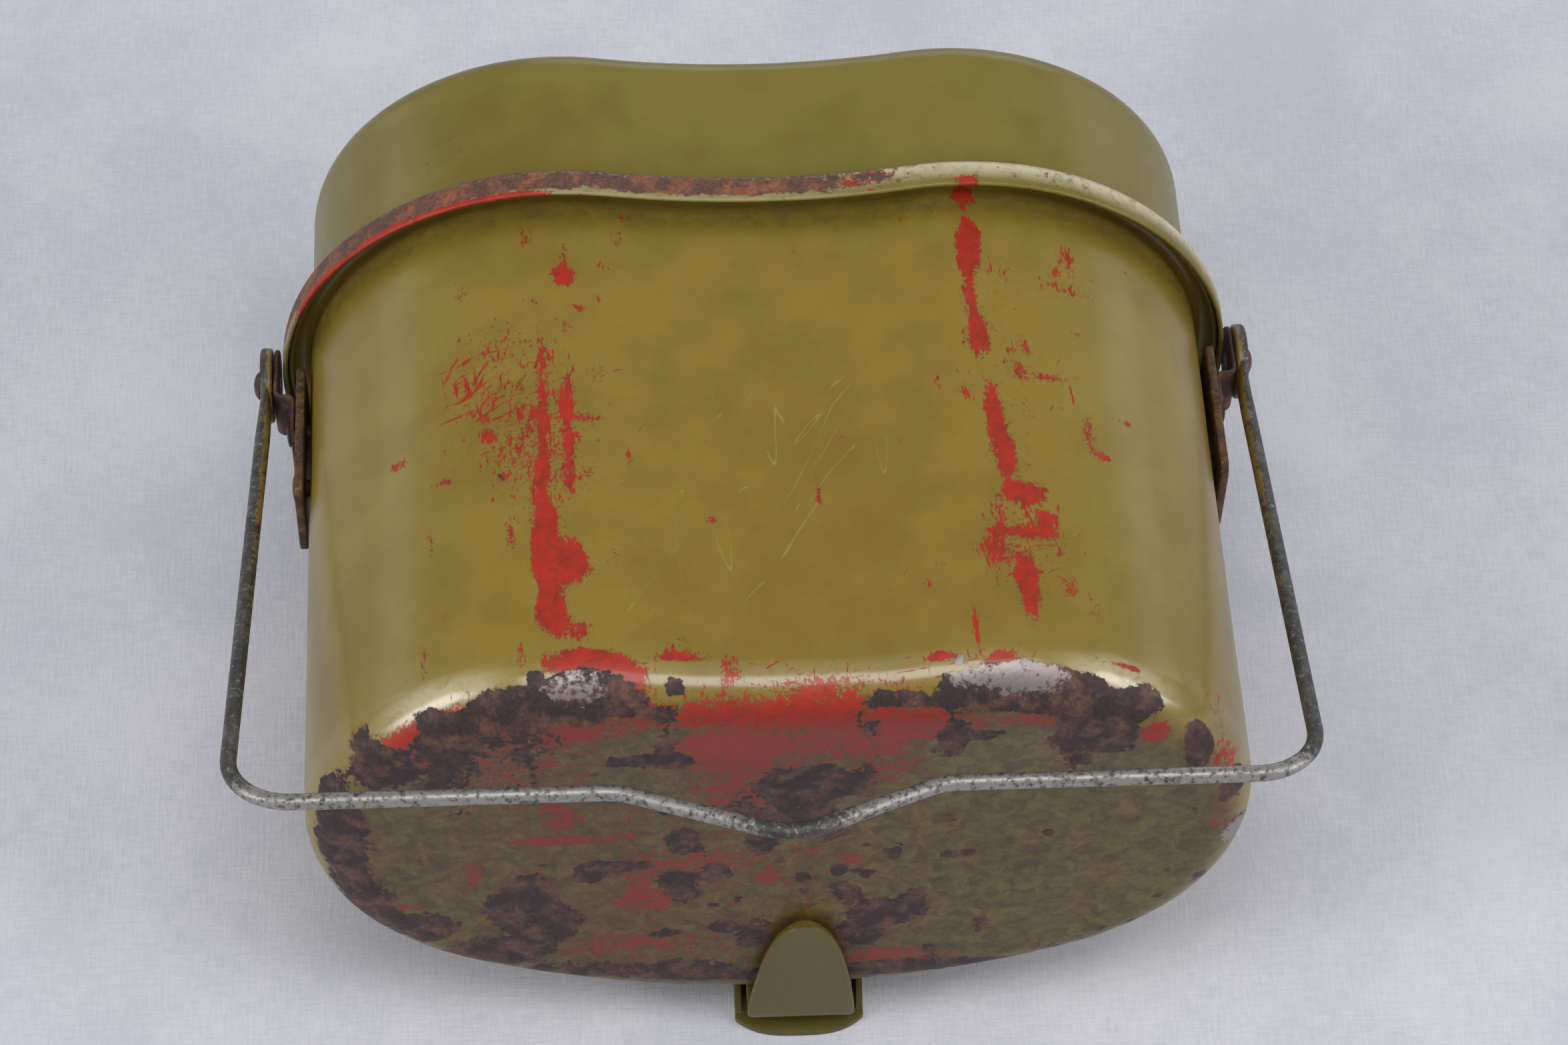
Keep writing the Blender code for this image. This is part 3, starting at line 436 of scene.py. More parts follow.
@dataclass(frozen=True)
class WornPaint:
    """Olive paint over red primer over steel, worn through where the mesh says.

    The mesh carries these fields from 0 to 1: primer (paint rubbed through to primer), bare
    (worn to steel), polish (steel rubbed bright; on the lid's ring partly a painted
    highlight), scuff (drawn scratches), hair (pale hairlines), grime (dull darkening: dirt,
    and painted shade just under and above the lid's ring), fade (paint gone pale, and
    painted highlights on the pot's bend and the lid's ring), gloss (paint rubbed shiny) and blister
    (corroded paint).
    """

    name: str
    paint: Colour = shade(122, 101, 30)
    paint_light: Colour = shade(136, 116, 42)
    primer: Colour = shade(168, 26, 10)
    primer_dark: Colour = shade(138, 22, 10)
    steel_dark: Colour = shade(50, 38, 38)
    steel_warm: Colour = shade(96, 66, 54)
    # Colour of rubbed bright steel; on the lid's ring also a painted highlight.
    steel_bright: Colour = shade(150, 140, 136)
    # Colour of dirt, also used as painted shade.
    dirt: Colour = shade(56, 45, 28)
    # Pale colour of faded paint, also used as a painted highlight.
    faded: Colour = shade(196, 186, 154)
    stain: Colour = shade(92, 52, 30)
    line: Colour = shade(176, 160, 98)
    gloss: float = 0.31
    specular: float = 0.42
    stretch: Point = (1.0, 2.6, 1.0)
    patch_scale: float = 0.42
    steel_scale: float = 0.2
    shine_metal: float = 0.75
    steel_metal: float = 0.0
    steel_rough: float = 0.62
    depth: float = 0.00016

    def build(self, effects: Effects) -> Material:
        """Make the material.

        Args:
            effects: The shared effects.

        Returns:
            The material.
        """
        material, pen, shader, where = start_material(self.name)
        masks = self.masks(pen, effects, where)
        colour, rough = self.painted(pen, effects, where, masks)
        oxide = pen.place(effects.oxide, Vector=where, Dark=(*self.steel_dark, 1.0), Warm=(*self.steel_warm, 1.0),
                          Bright=(*self.steel_bright, 1.0), Polish=pen.worn("polish"))
        colour = pen.mix(masks["bare"], colour, oxide.outputs["Color"])
        steel_rough = pen.between(oxide.outputs["Shine"], self.steel_rough, 0.42)
        rough = pen.between(masks["bare"], rough, steel_rough)
        metal = pen.between(oxide.outputs["Shine"], self.steel_metal, self.shine_metal)
        pen.feed(shader.inputs["Base Color"], colour)
        pen.feed(shader.inputs["Roughness"], rough)
        pen.feed(shader.inputs["Metallic"], pen.times(metal, masks["bare"]))
        shader.inputs["Specular IOR Level"].default_value = self.specular
        kept = pen.less(1.0, pen.most(masks["bare"], pen.times(masks["primer"], 0.6)))
        pen.feed(shader.inputs["Coat Weight"], pen.times(kept, pen.worn("gloss")))
        shader.inputs["Coat Roughness"].default_value = 0.16
        pen.raised(shader, self.relief(pen, masks, oxide), self.depth)
        return material

    def masks(self, pen: Nodes, effects: Effects, where: NodeSocket) -> dict:
        """Draw where each layer shows.

        Args:
            pen: The material's pen.
            effects: The shared effects.
            where: Coordinates in millimetres.

        Returns:
            The masks and heights by name.
        """
        along = pen.drawn(where, (0, 0, 0), self.stretch)
        rubbed = pen.place(effects.broken, Vector=along, Field=pen.worn("primer"), Scale=self.patch_scale,
                           Gain=2.7, Softness=0.03)
        crumbs = pen.place(effects.broken, Vector=where, Field=pen.times(pen.worn("primer"), 0.9),
                           Scale=1.5, Gain=2.7, Softness=0.05)
        cover = pen.worn("scuff")
        drawn_off = crumbs.outputs[0]
        for turn, length, scale in ((-27, 9, 1.25), (-58, 8, 1.0), (5, 7, 1.2), (-84, 8, 1.1)):
            dash = pen.place(effects.dashes, Vector=pen.drawn(where, (0, 0, turn), (1, length, 4)), Scale=scale,
                             Cover=cover)
            drawn_off = pen.most(drawn_off, dash.outputs[0])
        drawn_off = pen.times(drawn_off, pen.ease(pen.most(cover, pen.worn("primer")), 0.03, 0.2))
        bare = pen.place(effects.broken, Vector=where, Field=pen.worn("bare"), Scale=self.steel_scale,
                         Gain=1.9, Softness=0.025)
        blister = pen.place(effects.blisters, Vector=where, Field=pen.worn("blister"))
        hair = pen.place(effects.lines, Vector=pen.drawn(where, (0, 0, -33), (1, 9, 3)), Scale=0.16,
                         Width=0.006, Cover=pen.worn("hair"))
        upright = pen.place(effects.lines, Vector=pen.drawn(where, (0, 0, 7), (1, 12, 3)), Scale=0.13,
                            Width=0.005, Cover=pen.worn("hair"))
        pale = pen.times(pen.most(hair.outputs[0], upright.outputs[0]),
                        pen.ease(pen.worn("hair"), 0.03, 0.3))
        shown = pen.most(rubbed.outputs[0], drawn_off)
        worn_bare = pen.most(bare.outputs[0], blister.outputs["Pits"])
        return {"primer": shown, "bare": worn_bare, "pale": pale, "swell": blister.outputs["Height"],
                "rim": bare.outputs["Rim"]}

    def painted(self, pen: Nodes, effects: Effects, where: NodeSocket, masks: dict) -> tuple:
        """Colour and roughness of the paint and primer.

        Args:
            pen: The material's pen.
            effects: The shared effects.
            where: Coordinates in millimetres.
            masks: The masks by name; the skin's height is added to them.

        Returns:
            The colour and the roughness.
        """
        skin = pen.place(effects.skin, Vector=where)
        masks["skin"] = skin.outputs["Height"]
        smear = skin.outputs["Smear"]
        colour = pen.mix(skin.outputs["Tone"], self.paint, self.paint_light)
        # Darkening from the grime field: dirt, and painted shade where the field marks it just under and above the
        # lid's ring.
        dirty = pen.times(pen.worn("grime"), pen.between(0.5, 1.0, pen.ease(smear, 0.3, 0.7)))
        colour = pen.mix(dirty, colour, self.dirt)
        # Pale where the fade field says: paint gone pale, and painted highlights on the pot's bend and the lid's
        # ring.
        colour = pen.mix(pen.times(pen.worn("fade"), pen.ease(smear, 0.15, 0.55)), colour, self.faded)
        colour = pen.mix(pen.times(masks["pale"], 0.3), colour, self.line)
        red = pen.mix(pen.ease(smear, 0.36, 0.62), self.primer_dark, self.primer)
        colour = pen.mix(pen.times(masks["primer"], 0.94), colour, red)
        colour = pen.mix(pen.times(dirty, pen.between(smear, 0.3, 0.85)), colour, self.dirt)
        colour = pen.mix(pen.times(masks["rim"], 0.55), colour, self.stain)
        rough = pen.between(smear, self.gloss - 0.07, self.gloss + 0.09)
        rough = pen.between(dirty, rough, 0.6)
        rough = pen.between(masks["primer"], rough, 0.5)
        return colour, rough

    def relief(self, pen: Nodes, masks: dict, oxide: Node) -> NodeSocket:
        """Height of the surface: paint and primer thickness, blisters, peel and rust grain.

        Args:
            pen: The material's pen.
            masks: The masks by name.
            oxide: The steel's node.

        Returns:
            The height.
        """
        paint = pen.times(pen.less(1.0, masks["primer"]), 0.25)
        over = pen.times(pen.less(1.0, masks["bare"]), 0.45)
        grain = pen.times(pen.times(oxide.outputs["Grain"], masks["bare"]), 0.55)
        peel = pen.times(masks["skin"], 0.10)
        lines = pen.times(masks["pale"], -0.12)
        total = pen.plus(pen.plus(paint, over), pen.plus(grain, peel))
        return pen.plus(pen.plus(total, lines), pen.times(masks["swell"], 1.5))


@dataclass(frozen=True)
class InnerSteel:
    """Dull tinned steel inside the pot and the lid, stained in use."""

    name: str = "inner_tinned_steel"
    clean: Colour = shade(150, 148, 142)
    stained: Colour = shade(104, 96, 84)

    def build(self, effects: Effects) -> Material:
        """Make the material.

        Args:
            effects: The shared effects.

        Returns:
            The material.
        """
        material, pen, shader, where = start_material(self.name)
        skin = pen.place(effects.skin, Vector=where)
        drawn = pen.noise(pen.drawn(where, (0, 0, 0), (1, 14, 1)), 0.6, 5.0, 0.6)
        stain = pen.ease(skin.outputs["Smear"], 0.42, 0.72)
        pen.feed(shader.inputs["Base Color"], pen.mix(stain, self.clean, self.stained))
        pen.feed(shader.inputs["Roughness"], pen.between(drawn, 0.34, 0.6))
        shader.inputs["Metallic"].default_value = 0.85
        pen.raised(shader, pen.between(0.5, drawn, skin.outputs["Height"]), 0.00004)
        return material


@dataclass(frozen=True)
class PaleCloth:
    """Pale woven cloth for the floor."""

    name: str = "floor_pale_cloth"
    light: Colour = shade(206, 207, 214)
    dark: Colour = shade(190, 192, 201)

    def build(self) -> Material:
        """Make the material.

        Returns:
            The material.
        """
        material, pen, shader, where = start_material(self.name)
        cloud = pen.noise(where, 0.02, 4.0, 0.6)
        warp = pen.noise(pen.drawn(where, (0, 0, 0), (1, 8, 1)), 1.7, 3.0, 0.6)
        weft = pen.noise(pen.drawn(where, (0, 0, 90), (1, 8, 1)), 1.7, 3.0, 0.6)
        weave = pen.between(0.5, warp, weft)
        tone = pen.between(0.5, cloud, weave)
        pen.feed(shader.inputs["Base Color"], pen.mix(pen.ease(tone, 0.38, 0.62), self.dark, self.light))
        shader.inputs["Roughness"].default_value = 0.9
        pen.raised(shader, weave, 0.0002)
        return material


# Wear


@dataclass(frozen=True)
class Mark:
    """A worn place: full in its middle and half as deep at its reach, in kit millimetres."""

    middle: Point
    reach: Point
    depth: float = 1.0

    def weight(self, points: np.ndarray) -> np.ndarray:
        """How worn each point is.

        Args:
            points: Points in millimetres, one row each.

        Returns:
            One value for each point.
        """
        apart = (points - np.array(self.middle)) / np.array(self.reach)
        return self.depth * 0.5 ** ((apart**2).sum(1) ** 2)


def on_front(x: float, y: float, half_x: float, half_y: float, depth: float = 1.0) -> Mark:
    """A mark on the dished front wall, at x and y."""
    return Mark((x, y, 99.0), (half_x, half_y, 28.0), depth)


def on_base(x: float, z: float, half_x: float, half_z: float, depth: float = 1.0) -> Mark:
    """A mark on the pot's flat base, at x and z."""
    return Mark((x, 0.0, z), (half_x, 6.0, half_z), depth)


def wear(points: np.ndarray, marks: Iterable[Mark], ground: float = 0.0) -> np.ndarray:
    """Join marks into one field.

    Args:
        points: Points in metres, one row each.
        marks: The marks.
        ground: Wear everywhere.

    Returns:
        The field, from 0 to 1.
    """
    left = np.full(len(points), 1.0 - ground)
    for mark in marks:
        left *= 1.0 - np.clip(mark.weight(points / MM), 0.0, 1.0)
    return 1.0 - left


# Shapes


def arc(centre: Sequence[float], radius: float, start: float, end: float, steps: int) -> list:
    """Points on an arc, both ends included.

    Args:
        centre: Its centre.
        radius: Its radius.
        start: First angle in degrees.
        end: Last angle in degrees.
        steps: Number of chords.

    Returns:
        The points.
    """
    turns = np.radians(np.linspace(start, end, steps + 1))
    return [(centre[0] + radius * math.cos(t), centre[1] + radius * math.sin(t)) for t in turns]


def line(start: Sequence[float], end: Sequence[float], steps: int) -> list:
    """Points strictly between start and end, for evenly spaced rows."""
    shares = np.linspace(0, 1, steps + 1)[1:-1]
    return [(start[0] + (end[0] - start[0]) * s, start[1] + (end[1] - start[1]) * s) for s in shares]


def rounded(points: Sequence[Sequence[float]], radius: float, steps: int) -> list[Vector]:
    """Round each inner corner of a polyline.

    Args:
        points: Its corners.
        radius: Radius of the arcs.
        steps: Chords in each arc.

    Returns:
        The rounded polyline.
    """
    path = [Vector(points[0])]
    for before, corner, after in zip(points, points[1:], points[2:]):
        corner = Vector(corner)
        back = (Vector(before) - corner).normalized()
        ahead = (Vector(after) - corner).normalized()
        half = back.angle(ahead) / 2
        centre = corner + (back + ahead).normalized() * (radius / math.sin(half))
        start = (corner + back * (radius / math.tan(half)) - centre).normalized()
        end = (corner + ahead * (radius / math.tan(half)) - centre).normalized()
        path += [centre + start.slerp(end, i / steps) * radius for i in range(steps + 1)]
    path.append(Vector(points[-1]))
    return path


def ripple(u: np.ndarray, v: np.ndarray, length: float) -> np.ndarray:
    """Slow unevenness from 0 to 1 over two coordinates.

    Args:
        u: First coordinate.
        v: Second coordinate.
        length: Length of the longest wave.

    Returns:
        The unevenness.
    """
    total = np.zeros_like(u)
    for i, (a, b) in enumerate(((1.0, 0.3), (-0.55, 1.1), (1.7, -1.3), (0.4, 2.3), (-2.6, 0.9))):
        total += np.sin(2 * math.pi * (a * u + b * v) / length + 1.7 * i) / (1 + 0.5 * i)
    return 0.5 + total / 6.2


@dataclass(frozen=True)
class Outline:
    width: float = 0.165
    end_radius: float = 0.0468
    back_radius: float = 0.1329
    dip_radius: float = 0.1573

    @property
    def end_x(self) -> float:
        """Distance of the ends' centres from the middle."""
        return self.width / 2 - self.end_radius

    @property
    def end_z(self) -> float:
        """Height of the ends' centres above the back."""
        return self.back_radius - math.sqrt((self.back_radius - self.end_radius) ** 2 - self.end_x**2)

    @property
    def dip_z(self) -> float:
        """Height of the dished front's centre."""
        return self.end_z + math.sqrt((self.dip_radius + self.end_radius) ** 2 - self.end_x**2)

    def walk(self, count: int) -> tuple[np.ndarray, np.ndarray, np.ndarray]:
        """Walk round the outline at an even pace, from the back's middle towards +X.

        Args:
            count: Number of points.

        Returns:
            The points and the outward normals as (x, z), and the distance walked.
        """
        back_turn = math.atan2(self.end_x, self.back_radius - self.end_z)
        dip_turn = math.atan2(self.end_x, self.dip_z - self.end_z)
        back = self.back_radius * back_turn
        end = self.end_radius * (math.pi + dip_turn - back_turn)
        half = back + end + self.dip_radius * dip_turn
        walked = np.arange(count) * 2 * half / count
        side = np.where(walked > half, -1.0, 1.0)
        s = np.where(walked > half, 2 * half - walked, walked)
        on_back, on_end = s < back, (s >= back) & (s < back + end)
        turn = np.where(on_back, s / self.back_radius, back_turn + (s - back) / self.end_radius)
        turn = np.where(on_back | on_end, turn, dip_turn - (s - back - end) / self.dip_radius)
        sine, cosine = np.sin(turn), np.cos(turn)
        radius = np.select([on_back, on_end], [self.back_radius, self.end_radius], self.dip_radius)
        x = np.where(on_end, self.end_x, 0.0) + radius * sine
        z = np.select([on_back, on_end], [self.back_radius, self.end_z], self.dip_z) - radius * cosine
        sign = np.where(on_back | on_end, 1.0, -1.0)
        points = np.stack([x * side, z], 1)
        normals = np.stack([sine * side * sign, -cosine * sign], 1)
        return points, normals, walked


OUTLINE = Outline()


def kit_origin() -> Vector:
    low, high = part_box("pot_body")
    return Vector(((low.x + high.x) / 2, low.y, low.z + Pot.curl_reach))


class Piece:
    def __init__(self, name: str, mesh: Mesh) -> None:
        """Put a mesh in the scene under a name.

        Args:
            name: Its name.
            mesh: Its mesh.
        """
        mesh.name = name
        self.object = bpy.data.objects.new(name, mesh)
        bpy.context.scene.collection.objects.link(self.object)
        self.object.location = kit_origin()
        mesh.shade_smooth()

    def points(self) -> np.ndarray:
        """The piece's points in kit coordinates, one row each.

        Returns:
            The points.
        """
        values = np.zeros(len(self.object.data.vertices) * 3)
        self.object.data.vertices.foreach_get("co", values)
        return values.reshape(-1, 3)

    def carry(self, **fields: np.ndarray | float) -> None:
        """Store wear fields on the mesh.

        Args:
            **fields: Each field's values by name, held between 0 and 1.
        """
        zeros = np.zeros(len(self.object.data.vertices))
        for name, values in fields.items():
            attribute = self.object.data.attributes.new(name, "FLOAT", "POINT")
            attribute.data.foreach_set("value", np.clip(values + zeros, 0, 1).astype(np.float32))

    def crease(self, degrees: float) -> None:
        """Keep edges sharper than degrees crisp."""
        self.object.data.set_sharp_from_angle(angle=math.radians(degrees))

    def bevel(self, width: float, steps: int = 2) -> None:
        """Round the edges and keep the result in the mesh.

        Args:
            width: Width of the rounding.
            steps: Faces across it.
        """
        modifier = self.object.modifiers.new("rounding", "BEVEL")
        modifier.width = width
        modifier.segments = steps
        modifier.limit_method = "ANGLE"
        modifier.angle_limit = math.radians(40)
        self.settle()

    def cut(self, other: Mesh, operation: str = "DIFFERENCE") -> None:
        """Cut another closed mesh out of the piece, or join it on.

        Args:
            other: The other mesh, in kit coordinates.
            operation: DIFFERENCE or UNION.
        """
        helper = bpy.data.objects.new("helper", other)
        helper.location = self.object.location
        bpy.context.scene.collection.objects.link(helper)
        modifier = self.object.modifiers.new("cut", "BOOLEAN")
        modifier.operation = operation
        modifier.solver = "EXACT"
        modifier.object = helper
        self.settle()
        bpy.data.objects.remove(helper)

    def settle(self) -> None:
        """Apply every modifier to the mesh."""
        bpy.context.view_layer.update()
        graph = bpy.context.evaluated_depsgraph_get()
        made = bpy.data.meshes.new_from_object(self.object.evaluated_get(graph))
        self.object.modifiers.clear()
        old = self.object.data
        self.object.data = made
        bpy.data.meshes.remove(old)
        made.name = self.object.name
        made.shade_smooth()

    def dress(self, body: Body, slot: Slot, nodes: Sequence[str], *materials: Material) -> None:
        """Args:
            body: The body it moves with.
            slot: The record's material slot it stands for; not used.
            nodes: The solids that it replaces.
            *materials: Its materials in order.
        """
        self.object.data.materials.clear()
        for material in materials:
            self.object.data.materials.append(material)
        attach(self.object, body.value)
        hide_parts(*nodes)
        LOG.info("%s: %d faces, on %s", self.object.name, len(self.object.data.polygons), body.value)


def mesh_from(bm: bmesh.types.BMesh) -> Mesh:
    """Close off a bmesh as a mesh whose faces look outwards.

    Args:
        bm: The bmesh, which is freed.

    Returns:
        The mesh.
    """
    bmesh.ops.recalc_face_normals(bm, faces=bm.faces)
    mesh = bpy.data.meshes.new("shape")
    bm.to_mesh(mesh)
    bm.free()
    return mesh


@dataclass(frozen=True)
class Row:
    """One loop of a drawn shell: offset from the outline, height, and pull towards the middle."""

    offset: float
    y: float
    share: float = 1.0


def drawn_shell(rows: Sequence[Row], columns: int, dent: Callable) -> tuple[Mesh, np.ndarray]:
    """A closed body that follows the outline row by row.

    Args:
        rows: Its loops in order; the first and last are closed by a fan.
        columns: Points in each loop.
        dent: Gives the shift along the normal and along Y at (walked, x, y, z).

    Returns:
        The mesh, and the row number of each vertex.
    """
    base, normals, walked = OUTLINE.walk(columns)
    middle = np.array([0.0, 0.5 * (OUTLINE.dip_z - OUTLINE.dip_radius)])
    points, owner = [], []
    for number, row in enumerate(rows):
        flat = middle + (base + normals * row.offset - middle) * row.share
        loop = np.stack([flat[:, 0], np.full(columns, row.y), flat[:, 1]], 1)
        out, up = dent(walked, loop[:, 0], loop[:, 1], loop[:, 2])
        loop[:, 0] += normals[:, 0] * out
        loop[:, 2] += normals[:, 1] * out
        loop[:, 1] += up
        points.append(loop)
        owner += [number] * columns
    ends = [np.mean(points[0], 0), np.mean(points[-1], 0)]
    points = np.concatenate([*points, np.array(ends)])
    faces = []
    for r in range(len(rows) - 1):
        for i in range(columns):
            j = (i + 1) % columns
            low, high = r * columns, (r + 1) * columns
            faces.append((low + i, low + j, high + j, high + i))
    first, last = len(rows) * columns, len(rows) * columns + 1
    top = (len(rows) - 1) * columns
    for i in range(columns):
        j = (i + 1) % columns
        faces.append((first, j, i))
        faces.append((last, top + i, top + j))
    mesh = bpy.data.meshes.new("shell")
    mesh.from_pydata([tuple(p) for p in points], [], faces)
    mesh.update()
    bm = bmesh.new()
    bm.from_mesh(mesh)
    bmesh.ops.recalc_face_normals(bm, faces=bm.faces)
    bm.to_mesh(mesh)
    bm.free()
    return mesh, np.array(owner + [0, len(rows) - 1])


def floor_rows(offset: float, y: float, steps: int, outwards: bool) -> list[Row]:
    """Loops of a flat floor.

    Args:
        offset: Offset of its outer edge from the outline.
        y: Its height.
        steps: Number of loops.
        outwards: True from the middle to the edge.

    Returns:
        The loops, without the edge itself.
    """
    shares = [(i + 0.6) / (steps + 0.6) for i in range(steps)]
    rows = [Row(offset, y, s) for s in shares]
    return rows if outwards else rows[::-1]


def turned(profile: Sequence[Sequence[float]], start: Vector, along: Vector, count: int = 32) -> Mesh:
    """A body turned about an axis.

    Args:
        profile: (radius, height) points, both ends on the axis.
        start: Where height 0 lies.
        along: Direction of the axis.
        count: Points in each ring.

    Returns:
        The mesh.
    """
    matrix = Matrix.Translation(start) @ along.to_track_quat("Z", "Y").to_matrix().to_4x4()
    bm = bmesh.new()
    rings = []
    for radius, height in profile[1:-1]:
        turns = [2 * math.pi * i / count for i in range(count)]
        rings.append([bm.verts.new(matrix @ Vector((radius * math.cos(t), radius * math.sin(t), height)))
                      for t in turns])
    first = bm.verts.new(matrix @ Vector((0, 0, profile[0][1])))
    last = bm.verts.new(matrix @ Vector((0, 0, profile[-1][1])))
    for i in range(count):
        j = (i + 1) % count
        bm.faces.new((first, rings[0][i], rings[0][j]))
        bm.faces.new((last, rings[-1][j], rings[-1][i]))
        for low, high in zip(rings, rings[1:]):
            bm.faces.new((low[i], low[j], high[j], high[i]))
    return mesh_from(bm)


def prism(points: Sequence, to_space: Callable, start: float, end: float) -> Mesh:
    """A polygon carried along a third direction.

    Args:
        points: Its (u, v) corners.
        to_space: Turns u, v and w into a point.
        start: First w.
        end: Last w.

    Returns:
        The mesh.
    """
    bm = bmesh.new()
    near = [bm.verts.new(to_space(u, v, start)) for u, v in points]
    far = [bm.verts.new(to_space(u, v, end)) for u, v in points]
    bm.faces.new(near)
    bm.faces.new(far)
    for i in range(len(points)):
        j = (i + 1) % len(points)
        bm.faces.new((near[i], near[j], far[j], far[i]))
    return mesh_from(bm)


def strip(path: Sequence[Vector], halves: Sequence[float], thick: float, to_space: Callable) -> Mesh:
    """A strip of sheet along a path, with rounded long edges.

    Args:
        path: Middle line in (u, v).
        halves: Half width at each point.
        thick: Thickness of the sheet.
        to_space: Turns u, v and w into a point.

    Returns:
        The mesh.
    """
    bm = bmesh.new()
    across = [-1, -0.97, -0.9, -0.6, -0.3, 0, 0.3, 0.6, 0.9, 0.97, 1]
    thin = [0.35, 0.75, 1, 1, 1, 1, 1, 1, 1, 0.75, 0.35]
    sections = []
    for i, (point, half) in enumerate(zip(path, halves)):
        along = (path[min(i + 1, len(path) - 1)] - path[max(i - 1, 0)]).normalized()
        side = Vector((-along.y, along.x))
        ring = []
        for face, order in ((1, range(11)), (-1, range(10, -1, -1))):
            for k in order:
                spot = point + side * (face * thick / 2 * thin[k])
                ring.append(bm.verts.new(to_space(spot.x, spot.y, half * across[k])))
        sections.append(ring)
    count = len(sections[0])
    for a, b in zip(sections, sections[1:]):
        for k in range(count):
            m = (k + 1) % count
            bm.faces.new((a[k], a[m], b[m], b[k]))
    bm.faces.new(sections[0])
    bm.faces.new(sections[-1])
    return mesh_from(bm)


def sweep(path: Sequence[Vector], section: Callable, to_space: Callable, count: int) -> Mesh:
    """A bar along a path in a plane.

    Args:
        path: Middle line in (u, v).
        section: Gives the half sizes in the plane and out of it at a point.
        to_space: Turns u, v and w into a point.
        count: Points round the bar.

    Returns:
        The mesh.
    """
    bm = bmesh.new()
    rings = []
    for i, point in enumerate(path):
        along = (path[min(i + 1, len(path) - 1)] - path[max(i - 1, 0)]).normalized()
        side = Vector((-along.y, along.x))
        across, out = section(point)
        ring = []
        for k in range(count):
            angle = 2 * math.pi * (k + 0.5) / count
            spot = point + side * across * math.cos(angle)
            ring.append(bm.verts.new(to_space(spot.x, spot.y, out * math.sin(angle))))
        rings.append(ring)
    for a, b in zip(rings, rings[1:]):
        for k in range(count):
            m = (k + 1) % count
            bm.faces.new((a[k], a[m], b[m], b[k]))
    bm.faces.new(rings[0])
    bm.faces.new(rings[-1])
    return mesh_from(bm)


def rod(start: Sequence[float], end: Sequence[float], radius: float) -> Mesh:
    """A plain round bar from start to end, used to cut holes."""
    start, along = Vector(start), Vector(end) - Vector(start)
    return turned([(0, 0), (radius, 0), (radius, along.length), (0, along.length)], start, along)


def rivet_profile(shank: float, head: float, dome: float, grip: float, tail: float) -> list:
    """Profile of a set rivet: domed head above height 0, shank, and an upset tail.

    Args:
        shank: Radius of the shank.
        head: Radius of the head.
        dome: Height of the head.
        grip: Length of the shank.
        tail: Radius of the tail, or 0 for a flush end.

    Returns:
        The (radius, height) points.
    """
    profile = [(0.0, dome)]
    for angle in (82, 70, 56, 42, 28, 14):
        turn = math.radians(angle)
        profile.append((head * math.cos(turn), dome * (0.18 + 0.82 * math.sin(turn))))
    profile += [(head, dome * 0.18), (head * 0.985, 0), (shank, 0), (shank, -grip)]
    if tail > 0:
        profile += [(tail, -grip), (tail * 0.95, -grip - 0.0005), (tail * 0.8, -grip - 0.0008)]
        profile.append((0, -grip - 0.0008))
    else:
        profile.append((0, -grip))
    return profile



